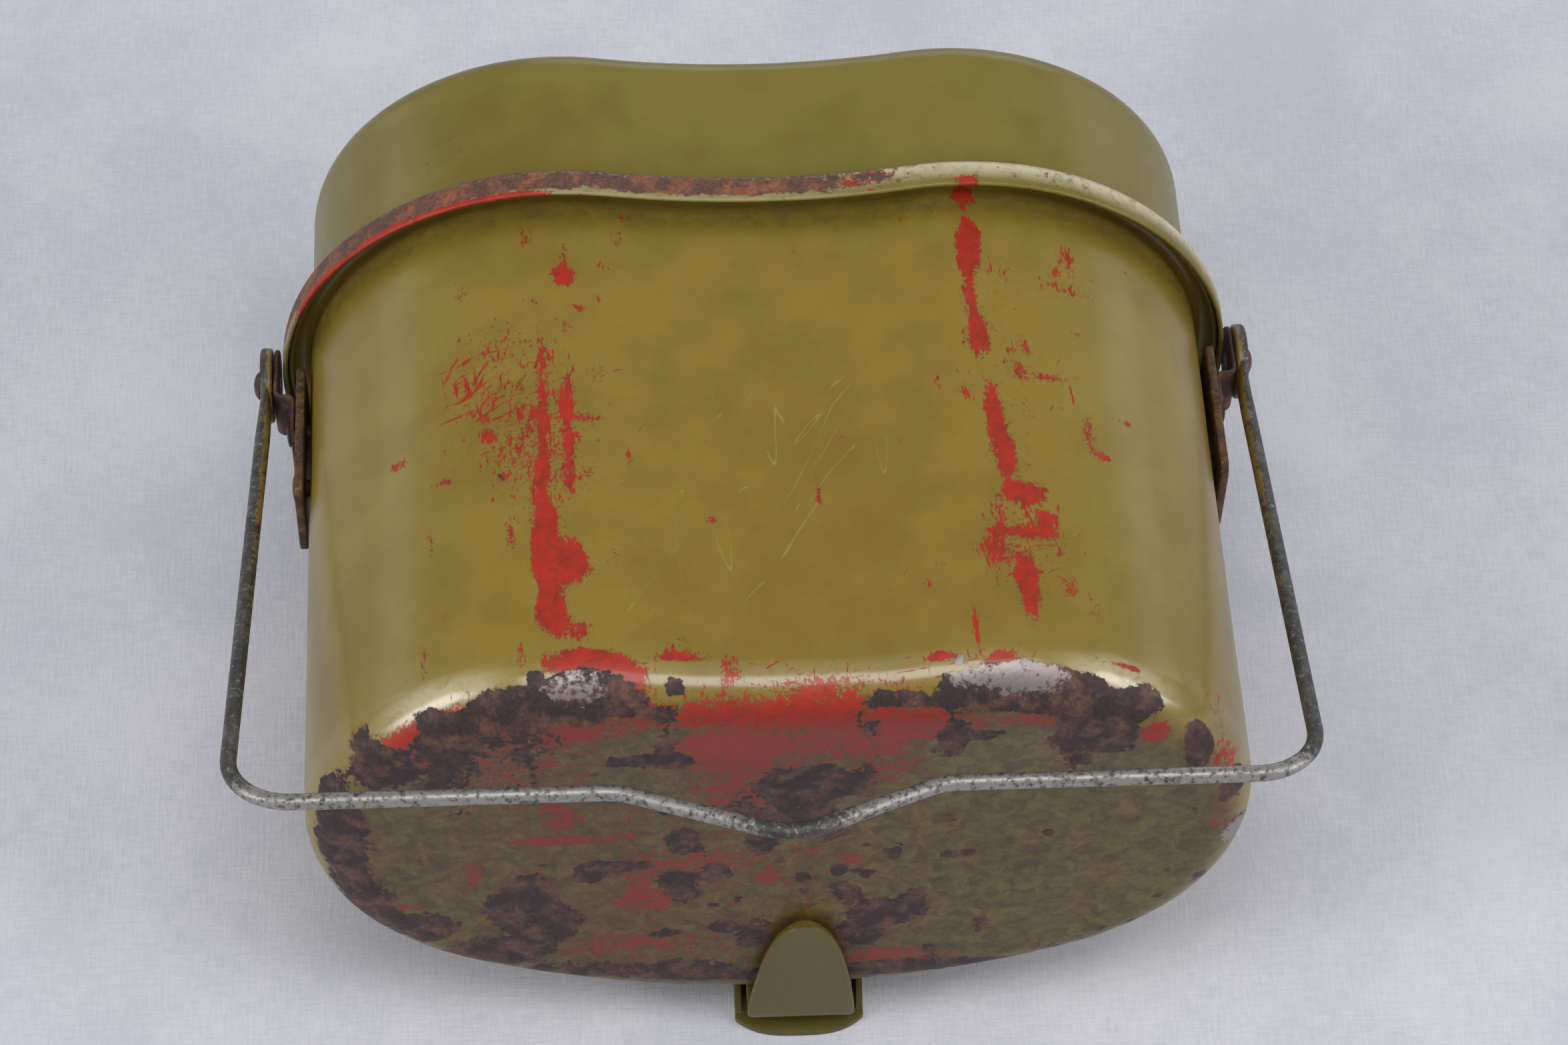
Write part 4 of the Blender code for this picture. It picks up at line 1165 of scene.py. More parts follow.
@dataclass
class Pot:
    """The drawn pot: dished base, straight wall and a curled mouth."""

    height: float = 0.11005
    corner: float = 0.009
    sheet: float = SHEET
    curl: float = 0.0021
    lip: float = 0.0016
    columns: int = 300
    curl_reach = 0.0042

    def rows(self) -> tuple[list[Row], int]:
        """Loops from the outer base round the mouth to the inner base, and the first inner one.

        Returns:
            The loops, and the number of the first inner one.
        """
        inner, outer = self.curl - self.sheet / 2, self.curl + self.sheet / 2
        curl_y = self.height - outer
        rows = floor_rows(-self.corner, 0.0, 26, True)
        contour = arc((-self.corner, self.corner), self.corner, -90, 0, 14)
        contour += line((0, self.corner), (0, curl_y), 52)
        turn = arc((inner, curl_y), inner, 180, 0, 10)
        contour += turn
        contour += [(2 * inner, curl_y - self.lip), (2 * inner + self.sheet, curl_y - self.lip)]
        contour += arc((inner, curl_y), outer, 0, 180, 12)
        first_inner = len(rows) + len(contour)
        contour += line((-self.sheet, curl_y), (-self.sheet, self.corner), 24)
        contour += arc((-self.corner, self.corner), self.corner - self.sheet, 0, -90, 8)
        rows += [Row(offset, y) for offset, y in contour]
        rows += floor_rows(-self.corner, self.sheet, 10, False)
        return rows, first_inner

    def dent(self, walked: np.ndarray, x: np.ndarray, y: np.ndarray, z: np.ndarray) -> tuple:
        """Unevenness of the drawn sheet.

        Args:
            walked: Distance round the outline.
            x: Kit x.
            y: Kit y.
            z: Kit z.

        Returns:
            The shift along the normal and along Y.
        """
        wall = np.clip((y - 0.002) / self.corner, 0, 1) * np.clip((0.1 - y) / 0.02, 0, 1)
        out = -0.00022 * ripple(walked, y, 0.09) * wall
        near_bend = np.exp(-(((y - 0.006) / 0.006) ** 2))
        out -= 0.00016 * ripple(walked, y, 0.017) * near_bend
        base = np.clip(1 - y / 0.004, 0, 1)
        up = 0.00035 * ripple(x, z, 0.06) * base + 0.0001 * ripple(x, z, 0.013) * base
        return out, up

    def primer_marks(self) -> list[Mark]:
        """Where the olive paint is rubbed through to the red primer.

        Returns:
            The marks.
        """
        marks = [on_front(*mark) for mark in (
            (-36.6, 27.5, 4.4, 4.6, 0.95), (-39.4, 31, 2.0, 9, 0.9), (-38.6, 18, 2.8, 4.6, 0.85),
            (-35, 14, 3.4, 2.2, 0.6), (-39.5, 44, 1.3, 8, 0.62), (-39.4, 62, 0.8, 13, 0.46),
            (-35.4, 60, 0.8, 10, 0.5), (-35.4, 48, 1.0, 6, 0.42), (-45, 34, 0.6, 3, 0.7), (-35.3, 90, 2.0, 2.2, 0.95),
            (-35, 94.6, 1.0, 3, 0.5), (-53, 89, 2.2, 2.2, 0.42), (-25.6, 99, 1.4, 2.6, 0.45),
            (-41.6, 99, 1.6, 2.6, 0.42), (-34, 103.5, 1, 1.6, 0.45), (-24, 104, 2.4, 1.4, 0.42),
            (-32.5, 82.2, 1.6, 1.2, 0.45), (-34.6, 78.5, 0.9, 2, 0.5), (-29, 84.6, 1.2, 1.0, 0.5),
            (-41, 85, 1.6, 1.4, 0.4), (-27, 92, 3, 0.8, 0.42), (-64.5, 55.7, 2.1, 0.9, 0.9),
            (-31.6, 57.6, 3.0, 0.8, 0.72), (-49, 56, 1.6, 0.7, 0.6), (-46, 77, 10, 6, 0.18), (-45, 62, 14, 18, 0.25),
            (-39, 47, 9, 18, 0.26), (-59, 36, 0.6, 3.0, 0.55), (-25, 50, 0.7, 3.4, 0.5), (-28, 29, 2, 1.2, 0.5),
            (-57, 49, 2, 1.0, 0.4), (-31.5, 46, 0.8, 3.0, 0.42), (-29, 68, 2.2, 2.0, 0.34),
            (-32.5, 7.4, 7.4, 2.8, 0.95), (-27, 5, 4, 3, 0.6), (-44, 9, 1.2, 3, 0.5), (-17.5, 9.7, 5.6, 1.1, 0.95),
            (-9, 7, 2.0, 3, 0.5), (-17, 12.3, 3, 0.6, 0.5), (-11, 38.2, 1.9, 1.0, 0.8), (-9.6, 42, 0.4, 4, 0.5),
            (-12, 54, 1.2, 0.7, 0.5), (-17, 53.6, 1.0, 0.8, 0.5), (-17, 44, 0.8, 1.0, 0.5), (-23, 18, 1.6, 0.8, 0.5),
            (0.6, 17.5, 1.4, 0.6, 0.5), (12.6, 17.6, 1.2, 0.5, 0.5), (21.5, 53, 1.4, 0.6, 0.5),
            (7.4, 44, 0.5, 4, 0.5), (6, 98, 0.7, 2.4, 0.4), (15, 62, 0.6, 6, 0.24), (36.6, 94.5, 2.1, 6, 0.95),
            (36.2, 83, 1.2, 8, 0.75), (37.2, 74, 1.8, 4, 0.75), (38.4, 56, 1.3, 7, 0.68), (39.6, 48, 1.5, 5, 0.8),
            (42, 40, 3.2, 2.0, 0.95), (45.4, 34.5, 1.4, 1.8, 0.66), (41, 31.6, 5.4, 0.7, 0.6),
            (36, 36.5, 2.2, 0.7, 0.85), (41.6, 20, 1.7, 7, 0.74), (36, 28, 3, 2.2, 0.5), (36.4, 106, 1.8, 2.4, 0.9),
            (55, 55, 1.6, 4.4, 0.5), (57, 50.6, 1.8, 0.7, 0.6), (43.4, 66.8, 1.4, 1.4, 0.66), (49, 65.6, 4, 0.7, 0.5),
            (62, 60.4, 3.4, 0.6, 0.46), (52, 90, 1.2, 1.6, 0.4), (55, 87.4, 8, 0.8, 0.42), (54, 94, 1.6, 2.6, 0.42),
            (66, 95.6, 1.6, 1.0, 0.45), (54.6, 76.6, 1.2, 1.0, 0.55), (67.4, 76, 0.9, 0.9, 0.5),
            (45, 72, 1.0, 1.6, 0.5), (29, 64.6, 0.9, 1.4, 0.5), (34, 61.4, 0.7, 1.2, 0.6), (24.4, 22, 0.9, 1.6, 0.55),
            (27, 26, 1.6, 1.0, 0.42), (49, 21, 1.4, 2.6, 0.46), (53, 17, 1.2, 3, 0.4), (40, 60, 8, 28, 0.24),
            (43, 28, 9, 13, 0.26), (50, 88, 10, 9, 0.18), (36, 5.2, 3.2, 2.6, 0.8), (26, 7.4, 3.2, 0.7, 0.9),
            (57, 7.0, 2.6, 0.6, 0.8), (32, 12, 0.5, 5, 0.5), (22, 11.4, 5, 0.5, 0.45), (-60, 12, 0.8, 4, 0.5),
            (6, 5, 9, 2.4, 0.34), (-48, 1.5, 18, 2.2, 0.4), (74, 8, 3, 5, 0.36), (0, 3, 66, 2.4, 0.22),
            (28, 103, 6, 2.6, 0.28),
        )]
        marks += [on_base(*mark) for mark in (
            (4, 88, 19, 5.6, 0.46), (-2, 93.5, 32, 2.4, 0.5), (-46, 90.5, 16, 2.6, 0.6), (-13, 84, 9, 5, 0.4),
            (-4, 74, 11, 10, 0.36), (17, 80, 8, 8, 0.36), (46, 91, 10, 3.2, 0.55), (26, 90, 10, 4, 0.45),
            (-62, 85, 5, 4.4, 0.85), (-57, 91, 5, 3, 0.5), (-70, 97, 3, 4, 0.5), (-24, 37, 6, 4, 0.36),
            (-25, 46, 3, 8, 0.28), (-16, 48, 9, 5, 0.28), (-38, 57.6, 9, 1.2, 0.55), (-54, 46, 1.2, 5, 0.5),
            (-72, 42.5, 1.8, 2.2, 0.8), (-66, 37, 3, 1.0, 0.6), (-63, 27, 1.4, 1.6, 0.7), (-10, 20, 34, 7, 0.3),
            (-30, 26, 12, 7, 0.2), (22, 15, 12, 3, 0.45), (76, 74, 3, 9, 0.5), (62, 85, 3.2, 2.4, 0.75),
            (12.6, 48.6, 2.4, 1.8, 0.5), (-2, 44, 1.6, 2.6, 0.5), (-38, 65, 3, 5, 0.4), (-30, 60, 45, 36, 0.26),
            (20, 50, 30, 30, 0.16), (76, 58, 3, 6, 0.4),
        )]
        return marks

    def bare_marks(self) -> list[Mark]:
        """Where paint and primer are gone and the steel has rusted.

        Returns:
            The marks.
        """
        marks = [on_front(*mark) for mark in (
            (-33, 4.4, 6.4, 2.0, 0.95), (-44, 2.0, 9, 2.0, 0.95), (-57, 0.8, 7, 1.4, 0.8),
            (-41.5, 5.6, 1.6, 1.4, 0.7), (39, 3.2, 9, 2.4, 0.95), (49, 1.2, 6, 1.8, 0.9), (27.2, 2.6, 1.8, 2.0, 0.9),
            (28.4, 6.4, 1.3, 1.0, 0.7), (-18.6, 4.4, 1.2, 1.6, 0.8), (-34.5, 13.6, 1.0, 0.8, 0.75),
            (-46.3, 46.8, 1.0, 0.4, 0.8), (41.8, 22, 0.5, 1.6, 0.7), (52.4, 3.2, 1.6, 1.2, 0.75), (-20, 1, 3, 1, 0.6),
            (14, 0.6, 3, 1, 0.5),
        )]
        marks += [Mark(*mark) for mark in (
            ((-73, 3.5, 88), (4.2, 5.0, 7), 1.0), ((-69, 0, 81), (6, 4, 6), 0.9), ((62, 1, 93), (9, 3, 4.4), 0.95),
            ((71, 1, 82), (3.6, 3, 8), 0.9), ((77, 3, 66), (3, 4, 4.6), 0.9), ((79, 3, 52), (3, 4, 4.4), 0.85),
            ((74.5, 1, 38), (2, 3, 2.4), 0.7), ((-77, 2, 70), (3, 4, 8), 0.8),
        )]
        marks += [on_base(*mark) for mark in (
            (-38, 50, 42, 40, 0.24), (-76, 58, 5, 16, 0.85), (-73, 38, 5, 8, 0.8), (-64, 30, 7, 5, 0.75),
            (-50, 21, 9, 5, 0.75), (-34, 13.5, 12, 3, 0.66), (-15, 13, 9, 4, 0.6), (8, 10, 30, 2.6, 0.6),
            (30, 12, 20, 2.6, 0.66), (52, 17, 9, 2.4, 0.55), (-45, 36, 6, 9, 0.9), (-40, 30, 5, 6, 0.8),
            (-44, 23, 4, 4, 0.8), (-33, 47, 3.2, 3.2, 0.85), (-27, 48.6, 5, 1.8, 0.8), (-18, 44, 3.2, 3.4, 0.7),
            (-11, 45, 2.6, 3, 0.85), (-17, 38.6, 3.2, 2.2, 0.85), (-17, 56, 3, 4.4, 0.8), (-10, 27.4, 3, 2.2, 0.85),
            (-20, 25.6, 3, 1.4, 0.66), (5, 73, 10, 6.4, 0.85), (2, 63, 7, 6, 0.6), (-8, 66, 3, 5, 0.5),
            (-22, 81.6, 8, 2.2, 0.85), (-40, 97, 13, 3, 0.9), (-57, 92, 8, 2.2, 0.85), (-26, 96.6, 3, 2.6, 0.85),
            (-33, 94, 3, 2, 0.8), (28.4, 85.6, 3, 6, 0.85), (34, 87, 3.4, 1.8, 0.7), (18, 95.6, 7, 1.4, 0.75),
            (38, 97, 15, 3.6, 0.92), (56, 85, 4, 5, 0.85), (58, 92, 6, 3, 0.85), (19, 31, 7.4, 4.4, 0.85),
            (15, 24, 5, 5, 0.8), (24, 36, 3, 4, 0.7), (-3.6, 54.6, 3, 4, 0.8), (9, 57, 3, 1.6, 0.7),
            (36, 25, 1.8, 3, 0.8), (27, 17, 1.6, 2.4, 0.75), (11.6, 37.6, 3.6, 2.6, 0.75), (-4, 24, 4, 6, 0.6),
            (29, 61.6, 1.4, 2, 0.7), (63.4, 23.6, 0.9, 1.2, 0.8), (57.8, 22.4, 1.0, 1.6, 0.75),
            (4, 43, 1.6, 1.8, 0.7), (20, 53, 0.9, 1.4, 0.6), (14.6, 53, 0.9, 1.0, 0.6), (27.8, 53.6, 1.0, 1.6, 0.6),
            (13, 45, 1.2, 1.0, 0.6), (-7.6, 36.4, 1.0, 1.4, 0.6), (-12, 34, 1.4, 1.0, 0.6), (6.6, 54.4, 1, 0.9, 0.6),
        )]
        return marks

    def wear_fields(self, piece: Piece) -> None:
        """Store where the pot is worn on its mesh.

        Args:
            piece: The piece.
        """
        points = piece.points()
        x, y, z = (points / MM).T
        primer = wear(points, self.primer_marks())
        bare = wear(points, self.bare_marks())
        polish = wear(points, [
            on_front(-34, 4, 6, 3, 0.6), on_front(39, 4, 9, 3, 0.8), on_front(29, 5.5, 3, 3, 0.8),
            on_front(-44, 3, 8, 3, 0.3), Mark((-73, 4, 88), (4, 5, 6), 0.4), Mark((79, 3, 51), (4, 5, 5), 0.8),
            on_base(-45, 34, 8, 8, 0.25), on_base(18, 30, 8, 8, 0.2), Mark((77, 3, 40), (4, 4, 4), 0.6)])
        flat = np.clip(1 - y / 3.0, 0, 1)
        scuff = wear(points, [
            on_front(-51, 68, 8, 9, 0.62), on_front(-44, 55, 8, 12, 0.5), on_front(55, 90, 8, 6, 0.45),
            on_front(48, 62, 10, 14, 0.36), on_front(40, 27, 8, 8, 0.5), on_front(9, 52, 6, 14, 0.3),
            on_front(-27, 55, 6, 24, 0.3), on_base(-15, 60, 50, 34, 0.45), on_front(-60, 25, 8, 20, 0.25),
            on_front(30, 20, 14, 12, 0.25), on_front(0, 6, 66, 4, 0.4)])
        hair = wear(points, [
            on_front(0, 55, 22, 30, 0.7), on_front(-25, 20, 25, 14, 0.5), on_front(25, 25, 20, 18, 0.3)])
        gloss = 0.1 + 0.85 * np.exp(-(((y - 5.5) / 4.0) ** 2)) * np.clip((z - 60) / 20, 0, 1)
        # Darker over the flat base; the band on the wall just under the lid's skirt is painted shade.
        grime = np.clip(0.85 * flat + 0.5 * np.exp(-((y - 105) / 3.5) ** 2), 0, 1)
        # Painted highlight: pale streaks along the rounded bend to the base, broad at both lobes and thin in the
        # middle.
        fade = wear(points, [
            on_front(-58, 5.5, 10, 2.6, 0.6), on_front(56, 5.5, 9, 2.6, 0.55), on_front(0, 7, 40, 1.2, 0.12)])
        blister = flat * (0.35 + 0.65 * np.exp(-(((x - 12) / 34) ** 2 + ((z - 45) / 26) ** 2)))
        piece.carry(primer=primer, bare=bare, polish=polish, scuff=scuff, hair=hair, grime=grime, blister=blister,
                    gloss=gloss, fade=fade)

    def build(self, outside: Material, inside: Material) -> None:
        """Make the pot.

        Args:
            outside: Its worn paint.
            inside: Its inner finish.
        """
        rows, first_inner = self.rows()
        mesh, owner = drawn_shell(rows, self.columns, self.dent)
        piece = Piece("pot_cup", mesh)
        self.wear_fields(piece)
        piece.dress(Body.POT, Slot.POT, ["pot_body"], outside, inside)
        for face in mesh.polygons:
            face.material_index = int(min(owner[v] for v in face.vertices) >= first_inner)


@dataclass
class Lid:
    """The pan lid with its stepped skirt."""

    top: float = 0.1456
    corner: float = 0.007
    shoulder_y: float = 0.1114
    skirt: float = 0.0070
    step: float = 0.0055
    shoulder: float = 0.0034
    neck: float = 0.002
    sheet: float = SHEET
    columns: int = 300

    def rows(self) -> tuple[list[Row], int]:
        """Loops from the outer top over the skirt to the inner top, and the first inner one.

        Returns:
            The loops, and the number of the first inner one.
        """
        top = (-self.corner, self.top - self.corner)
        neck = (self.neck, self.shoulder_y + self.neck)
        shoulder = (self.step - self.shoulder, self.shoulder_y - self.shoulder)
        low = self.shoulder_y - self.skirt
        rows = floor_rows(-self.corner, self.top, 16, True)
        contour = arc(top, self.corner, 90, 0, 12)
        contour += line((0, top[1]), (0, neck[1]), 18)
        contour += arc(neck, self.neck, 180, 270, 6)
        contour += arc(shoulder, self.shoulder, 90, 0, 10)
        contour += line((self.step, shoulder[1]), (self.step, low + 0.0003), 4)
        contour += [(self.step, low + 0.0003), (self.step - 0.0001, low + 0.0001), (self.step - 0.0003, low)]
        contour += [(self.step - self.sheet + 0.0003, low), (self.step - self.sheet, low + 0.0003)]
        first_inner = len(rows) + len(contour)
        contour += line((self.step - self.sheet, low + 0.0003), (self.step - self.sheet, shoulder[1]), 3)
        contour += arc(shoulder, self.shoulder - self.sheet, 0, 90, 8)
        contour += arc(neck, self.neck + self.sheet, 270, 180, 6)
        contour += line((-self.sheet, neck[1]), (-self.sheet, top[1]), 8)
        contour += arc(top, self.corner - self.sheet, 0, 90, 8)
        rows += [Row(offset, y) for offset, y in contour]
        rows += floor_rows(-self.corner, self.top - self.sheet, 8, False)
        return rows, first_inner

    def dent(self, walked: np.ndarray, x: np.ndarray, y: np.ndarray, z: np.ndarray) -> tuple:
        """Unevenness of the lid: slow waves in its wall and a slightly beaten skirt.

        Args:
            walked: Distance round the outline.
            x: Kit x.
            y: Kit y.
            z: Kit z.

        Returns:
            The shift along the normal and along Y.
        """
        wall = np.clip((self.top - 0.002 - y) / self.corner, 0, 1)
        out = -0.0002 * ripple(walked, y, 0.11) * wall
        skirt = np.clip((self.shoulder_y + 0.001 - y) / 0.002, 0, 1)
        out -= 0.00012 * ripple(walked, y, 0.023) * skirt
        cap = np.clip(1 - (self.top - y) / 0.004, 0, 1)
        return out, -0.0004 * ripple(x, z, 0.07) * cap

    def wear_fields(self, piece: Piece) -> None:
        """Store where the lid is worn on its mesh.

        Args:
            piece: The piece.
        """
        points = piece.points()
        x, y, z = (points / MM).T
        ring = np.clip((112.0 - y) / 0.8, 0, 1)
        front = np.clip((z - 46) / 30, 0, 1)
        left = 1 / (1 + np.exp((x - 14) / 7))
        low = np.clip((y - 104.9) / 1.3, 0, 1)
        uneven = ripple(x, z + y, 31.0) - 0.5
        bare = ring * front * low * (0.80 * left + 0.10 * (1 - left) + 0.35 * uneven * left)
        bare *= 1 - 0.5 * np.exp(-(((x + 28) / 6) ** 2 + ((y - 106) / 1.6) ** 2))
        bare += 0.14 * ring
        primer = wear(points, [
            Mark((-70, 104.8, 88), (14, 1.3, 26), 1.0), Mark((-52, 104.5, 100), (14, 0.9, 14), 0.9),
            Mark((37, 105.2, 106), (2.2, 1.0, 6), 0.7), Mark((64, 106.5, 92), (4, 1.6, 4), 0.62),
            Mark((70, 106, 84), (3.5, 1.6, 4), 0.7), Mark((80, 106, 72), (4, 2.2, 4), 0.6),
            Mark((18, 108, 104), (5, 2, 6), 0.34), Mark((-55, 122, 96), (8, 8, 8), 0.22)])
        primer = np.clip(primer + 0.2 * ring * front, 0, 1)
        # The ring's upper band rubbed bright, brightest towards its top: rubbed steel, and partly a painted
        # highlight.
        polish = 0.5 * ring * front * np.clip((y - 106.5) / 3, 0, 1)
        # Pale on the ring's upper band, strongest on the right: paint worn pale, and a painted highlight along the
        # ring's shoulder.
        fade = ring * front * (1 - left) * np.clip((y - 105.5) / 3, 0, 1) + 0.3 * ring * front * left
        # A dark line where the lid's wall meets the ring is painted shade in that crease; the ring's back gets dirt.
        grime = 0.6 * np.exp(-(((y - 112.4) / 1.0) ** 2)) + 0.25 * ring * (1 - front)
        hair = wear(points, [Mark((0, 128, 100), (60, 12, 30), 0.2)])
        piece.carry(primer=primer, bare=bare, polish=polish, grime=grime, hair=hair, fade=fade)

    def build(self, outside: Material, inside: Material) -> None:
        """Make the lid.

        Args:
            outside: Its worn paint.
            inside: Its inner finish.
        """
        rows, first_inner = self.rows()
        mesh, owner = drawn_shell(rows, self.columns, self.dent)
        piece = Piece("lid_cover", mesh)
        self.wear_fields(piece)
        piece.dress(Body.LID, Slot.LID, ["lid_pan"], outside, inside)
        for face in mesh.polygons:
            face.material_index = int(min(owner[v] for v in face.vertices) >= first_inner)


@dataclass
class Ears:
    """The fittings on the pot's ends that carry the bail."""

    gap: float = 0.0003
    stand_off: float = 0.0006
    plate: float = 0.0016
    plate_half: float = 0.0095
    plate_low: float = 0.0712
    plate_high: float = 0.101
    plate_round: float = 0.003
    bracket: float = 0.0009
    bracket_half: float = 0.006
    foot_low: float = 0.0885
    web_y: float = 0.0966
    bend: float = 0.0013
    low_rivet_y: float = 0.0795
    rivet: float = 0.0016
    rivet_head: float = 0.0025
    rivet_dome: float = 0.0007
    pivot_y: float = 0.1035
    step: float = 0.0055
    eye: float = 0.0022
    stud: float = 0.0016
    stud_head: float = 0.0026
    stud_dome: float = 0.0012

    @property
    def plate_face(self) -> float:
        """Distance of the plate's outer face from the middle."""
        return OUTLINE.width / 2 + self.stand_off + self.plate

    @property
    def foot_face(self) -> float:
        """Distance of the bracket foot's outer face from the middle."""
        return self.plate_face + self.gap + self.bracket

    @property
    def bracket_face(self) -> float:
        """Distance of the bracket arm's outer face from the middle."""
        return OUTLINE.width / 2 + self.step + self.gap + self.bracket

    @property
    def eye_x(self) -> float:
        return self.bracket_face + self.gap + self.eye / 2

    def high_rivet_y(self) -> float:
        """Height of the rivet that holds the bracket."""
        return (self.foot_low + self.web_y - self.bracket) / 2

    def plate_mesh(self, side: int) -> Mesh:
        """The flat ear plate on one side.

        Args:
            side: -1 for the left, 1 for the right.

        Returns:
            The mesh.
        """
        low, high, half = self.plate_low, self.plate_high, self.plate_half
        points = []
        for u, v, radius, start in ((low, half, self.plate_round, 180), (high, half, 0.002, 90),
                                    (high, -half, 0.002, 0), (low, -half, self.plate_round, -90)):
            centre = (u + radius if u == low else u - radius, math.copysign(half - radius, v))
            points += arc(centre, radius, start, start - 90, 6)
        inner = self.plate_face - self.plate
        return prism(points, lambda u, v, w: Vector((side * w, u, OUTLINE.end_z + v)), inner, self.plate_face)

    def bracket_mesh(self, side: int) -> Mesh:
        """The bent bracket on one side.

        Args:
            side: -1 for the left, 1 for the right.

        Returns:
            The mesh.
        """
        foot, out = self.foot_face - self.bracket / 2, self.bracket_face - self.bracket / 2
        top = self.pivot_y + self.bracket_half + 0.0008
        corners = [(foot, self.foot_low), (foot, self.web_y), (out, self.web_y), (out, top - self.bracket_half)]
        path = rounded(corners, self.bend, 6)
        halves = [self.bracket_half] * len(path)
        for angle in range(8, 90, 8):
            turn = math.radians(angle)
            path.append(Vector((out, top - self.bracket_half * (1 - math.sin(turn)))))
            halves.append(self.bracket_half * math.cos(turn))
        return strip(path, halves, self.bracket, lambda u, v, w: Vector((side * u, v, OUTLINE.end_z + w)))

    def fields(self, piece: Piece, bare: float, primer: float = 0.0, polish: float = 0.1, grime: float = 0.4) -> None:
        """Store even wear on a small piece, a little deeper on its outer corners.

        Args:
            piece: The piece.
            bare: How far its paint is gone.
            primer: How far its primer shows.
            polish: How far its steel is rubbed bright.
            grime: How dirty it is.
        """
        points = piece.points()
        away = points - points.mean(0)
        reach = np.linalg.norm(away / (np.ptp(points, axis=0) / 2 + 1e-6), axis=1)
        corner = np.clip(reach - 0.9, 0, 0.5)
        piece.carry(bare=bare + 0.3 * corner, primer=primer, polish=polish + 0.5 * corner, grime=grime)

    def build(self, ear: Material, steel: Material) -> None:
        """Make both ears.

        Args:
            ear: Finish of the plates and brackets.
            steel: Finish of the rivets and studs.
        """
        z = OUTLINE.end_z
        for side, name in ((-1, "left"), (1, "right")):
            plate = Piece("ear_strap_" + name, self.plate_mesh(side))
            plate.bevel(0.00035, 3)
            for y in (self.low_rivet_y, self.high_rivet_y()):
                plate.cut(rod((side * 0.079, y, z), (side * 0.088, y, z), self.rivet + self.gap))
            plate.crease(50)
            self.fields(plate, 0.38, 0.1)
            plate.dress(Body.POT, Slot.EAR, ["ear_plate_" + name], ear)
            bracket = Piece("ear_knee_" + name, self.bracket_mesh(side))
            outer = side * (self.bracket_face + 0.002)
            bracket.cut(rod((side * (self.bracket_face - 0.003), self.pivot_y, z), (outer, self.pivot_y, z),
                            self.stud + self.gap))
            y = self.high_rivet_y()
            bracket.cut(rod((side * (self.foot_face - 0.002), y, z), (side * (self.foot_face + 0.001), y, z),
                            self.rivet + self.gap))
            bracket.crease(50)
            self.fields(bracket, 0.62, 0.15)
            bracket.dress(Body.POT, Slot.EAR, ["ear_bracket_" + name], ear)
            self.build_rivets(side, name, steel)

    def build_rivets(self, side: int, name: str, steel: Material) -> None:
        """Make the rivets and the stud of one ear.

        Args:
            side: -1 for the left, 1 for the right.
            name: Its name.
            steel: Finish of the rivets and the stud.
        """
        z = OUTLINE.end_z
        out = Vector((side, 0, 0))
        places = (("lower", self.low_rivet_y, self.plate_face), ("upper", self.high_rivet_y(), self.foot_face))
        for which, y, face in places:
            grip = face + self.gap - (OUTLINE.width / 2 - SHEET - self.gap)
            profile = rivet_profile(self.rivet, self.rivet_head, self.rivet_dome, grip, 0.0024)
            start = Vector((side * (face + self.gap), y, z))
            piece = Piece(f"ear_rivet_{which}_head_{name}", turned(profile, start, out))
            piece.crease(40)
            self.fields(piece, 0.5, 0.1, 0.2)
            piece.dress(Body.POT, Slot.RIVET, [f"ear_rivet_{which}_{name}"], steel)
        inner = self.bracket_face - self.bracket
        head = self.eye_x + self.eye / 2 + self.gap - inner
        profile = [(0, 0), (self.stud, 0), (self.stud, head), (self.stud_head * 0.98, head)]
        profile.append((self.stud_head, head + 0.0002))
        for angle in (20, 36, 52, 66, 80):
            turn = math.radians(angle)
            profile.append((self.stud_head * math.cos(turn), head + self.stud_dome * math.sin(turn)))
        profile.append((0, head + self.stud_dome))
        stud = Piece("bail_stud_turned_" + name, turned(profile, Vector((side * inner, self.pivot_y, z)), out))
        stud.crease(40)
        self.fields(stud, 0.7, 0.1, 0.4)
        stud.dress(Body.POT, Slot.PIN, ["bail_stud_" + name], steel)


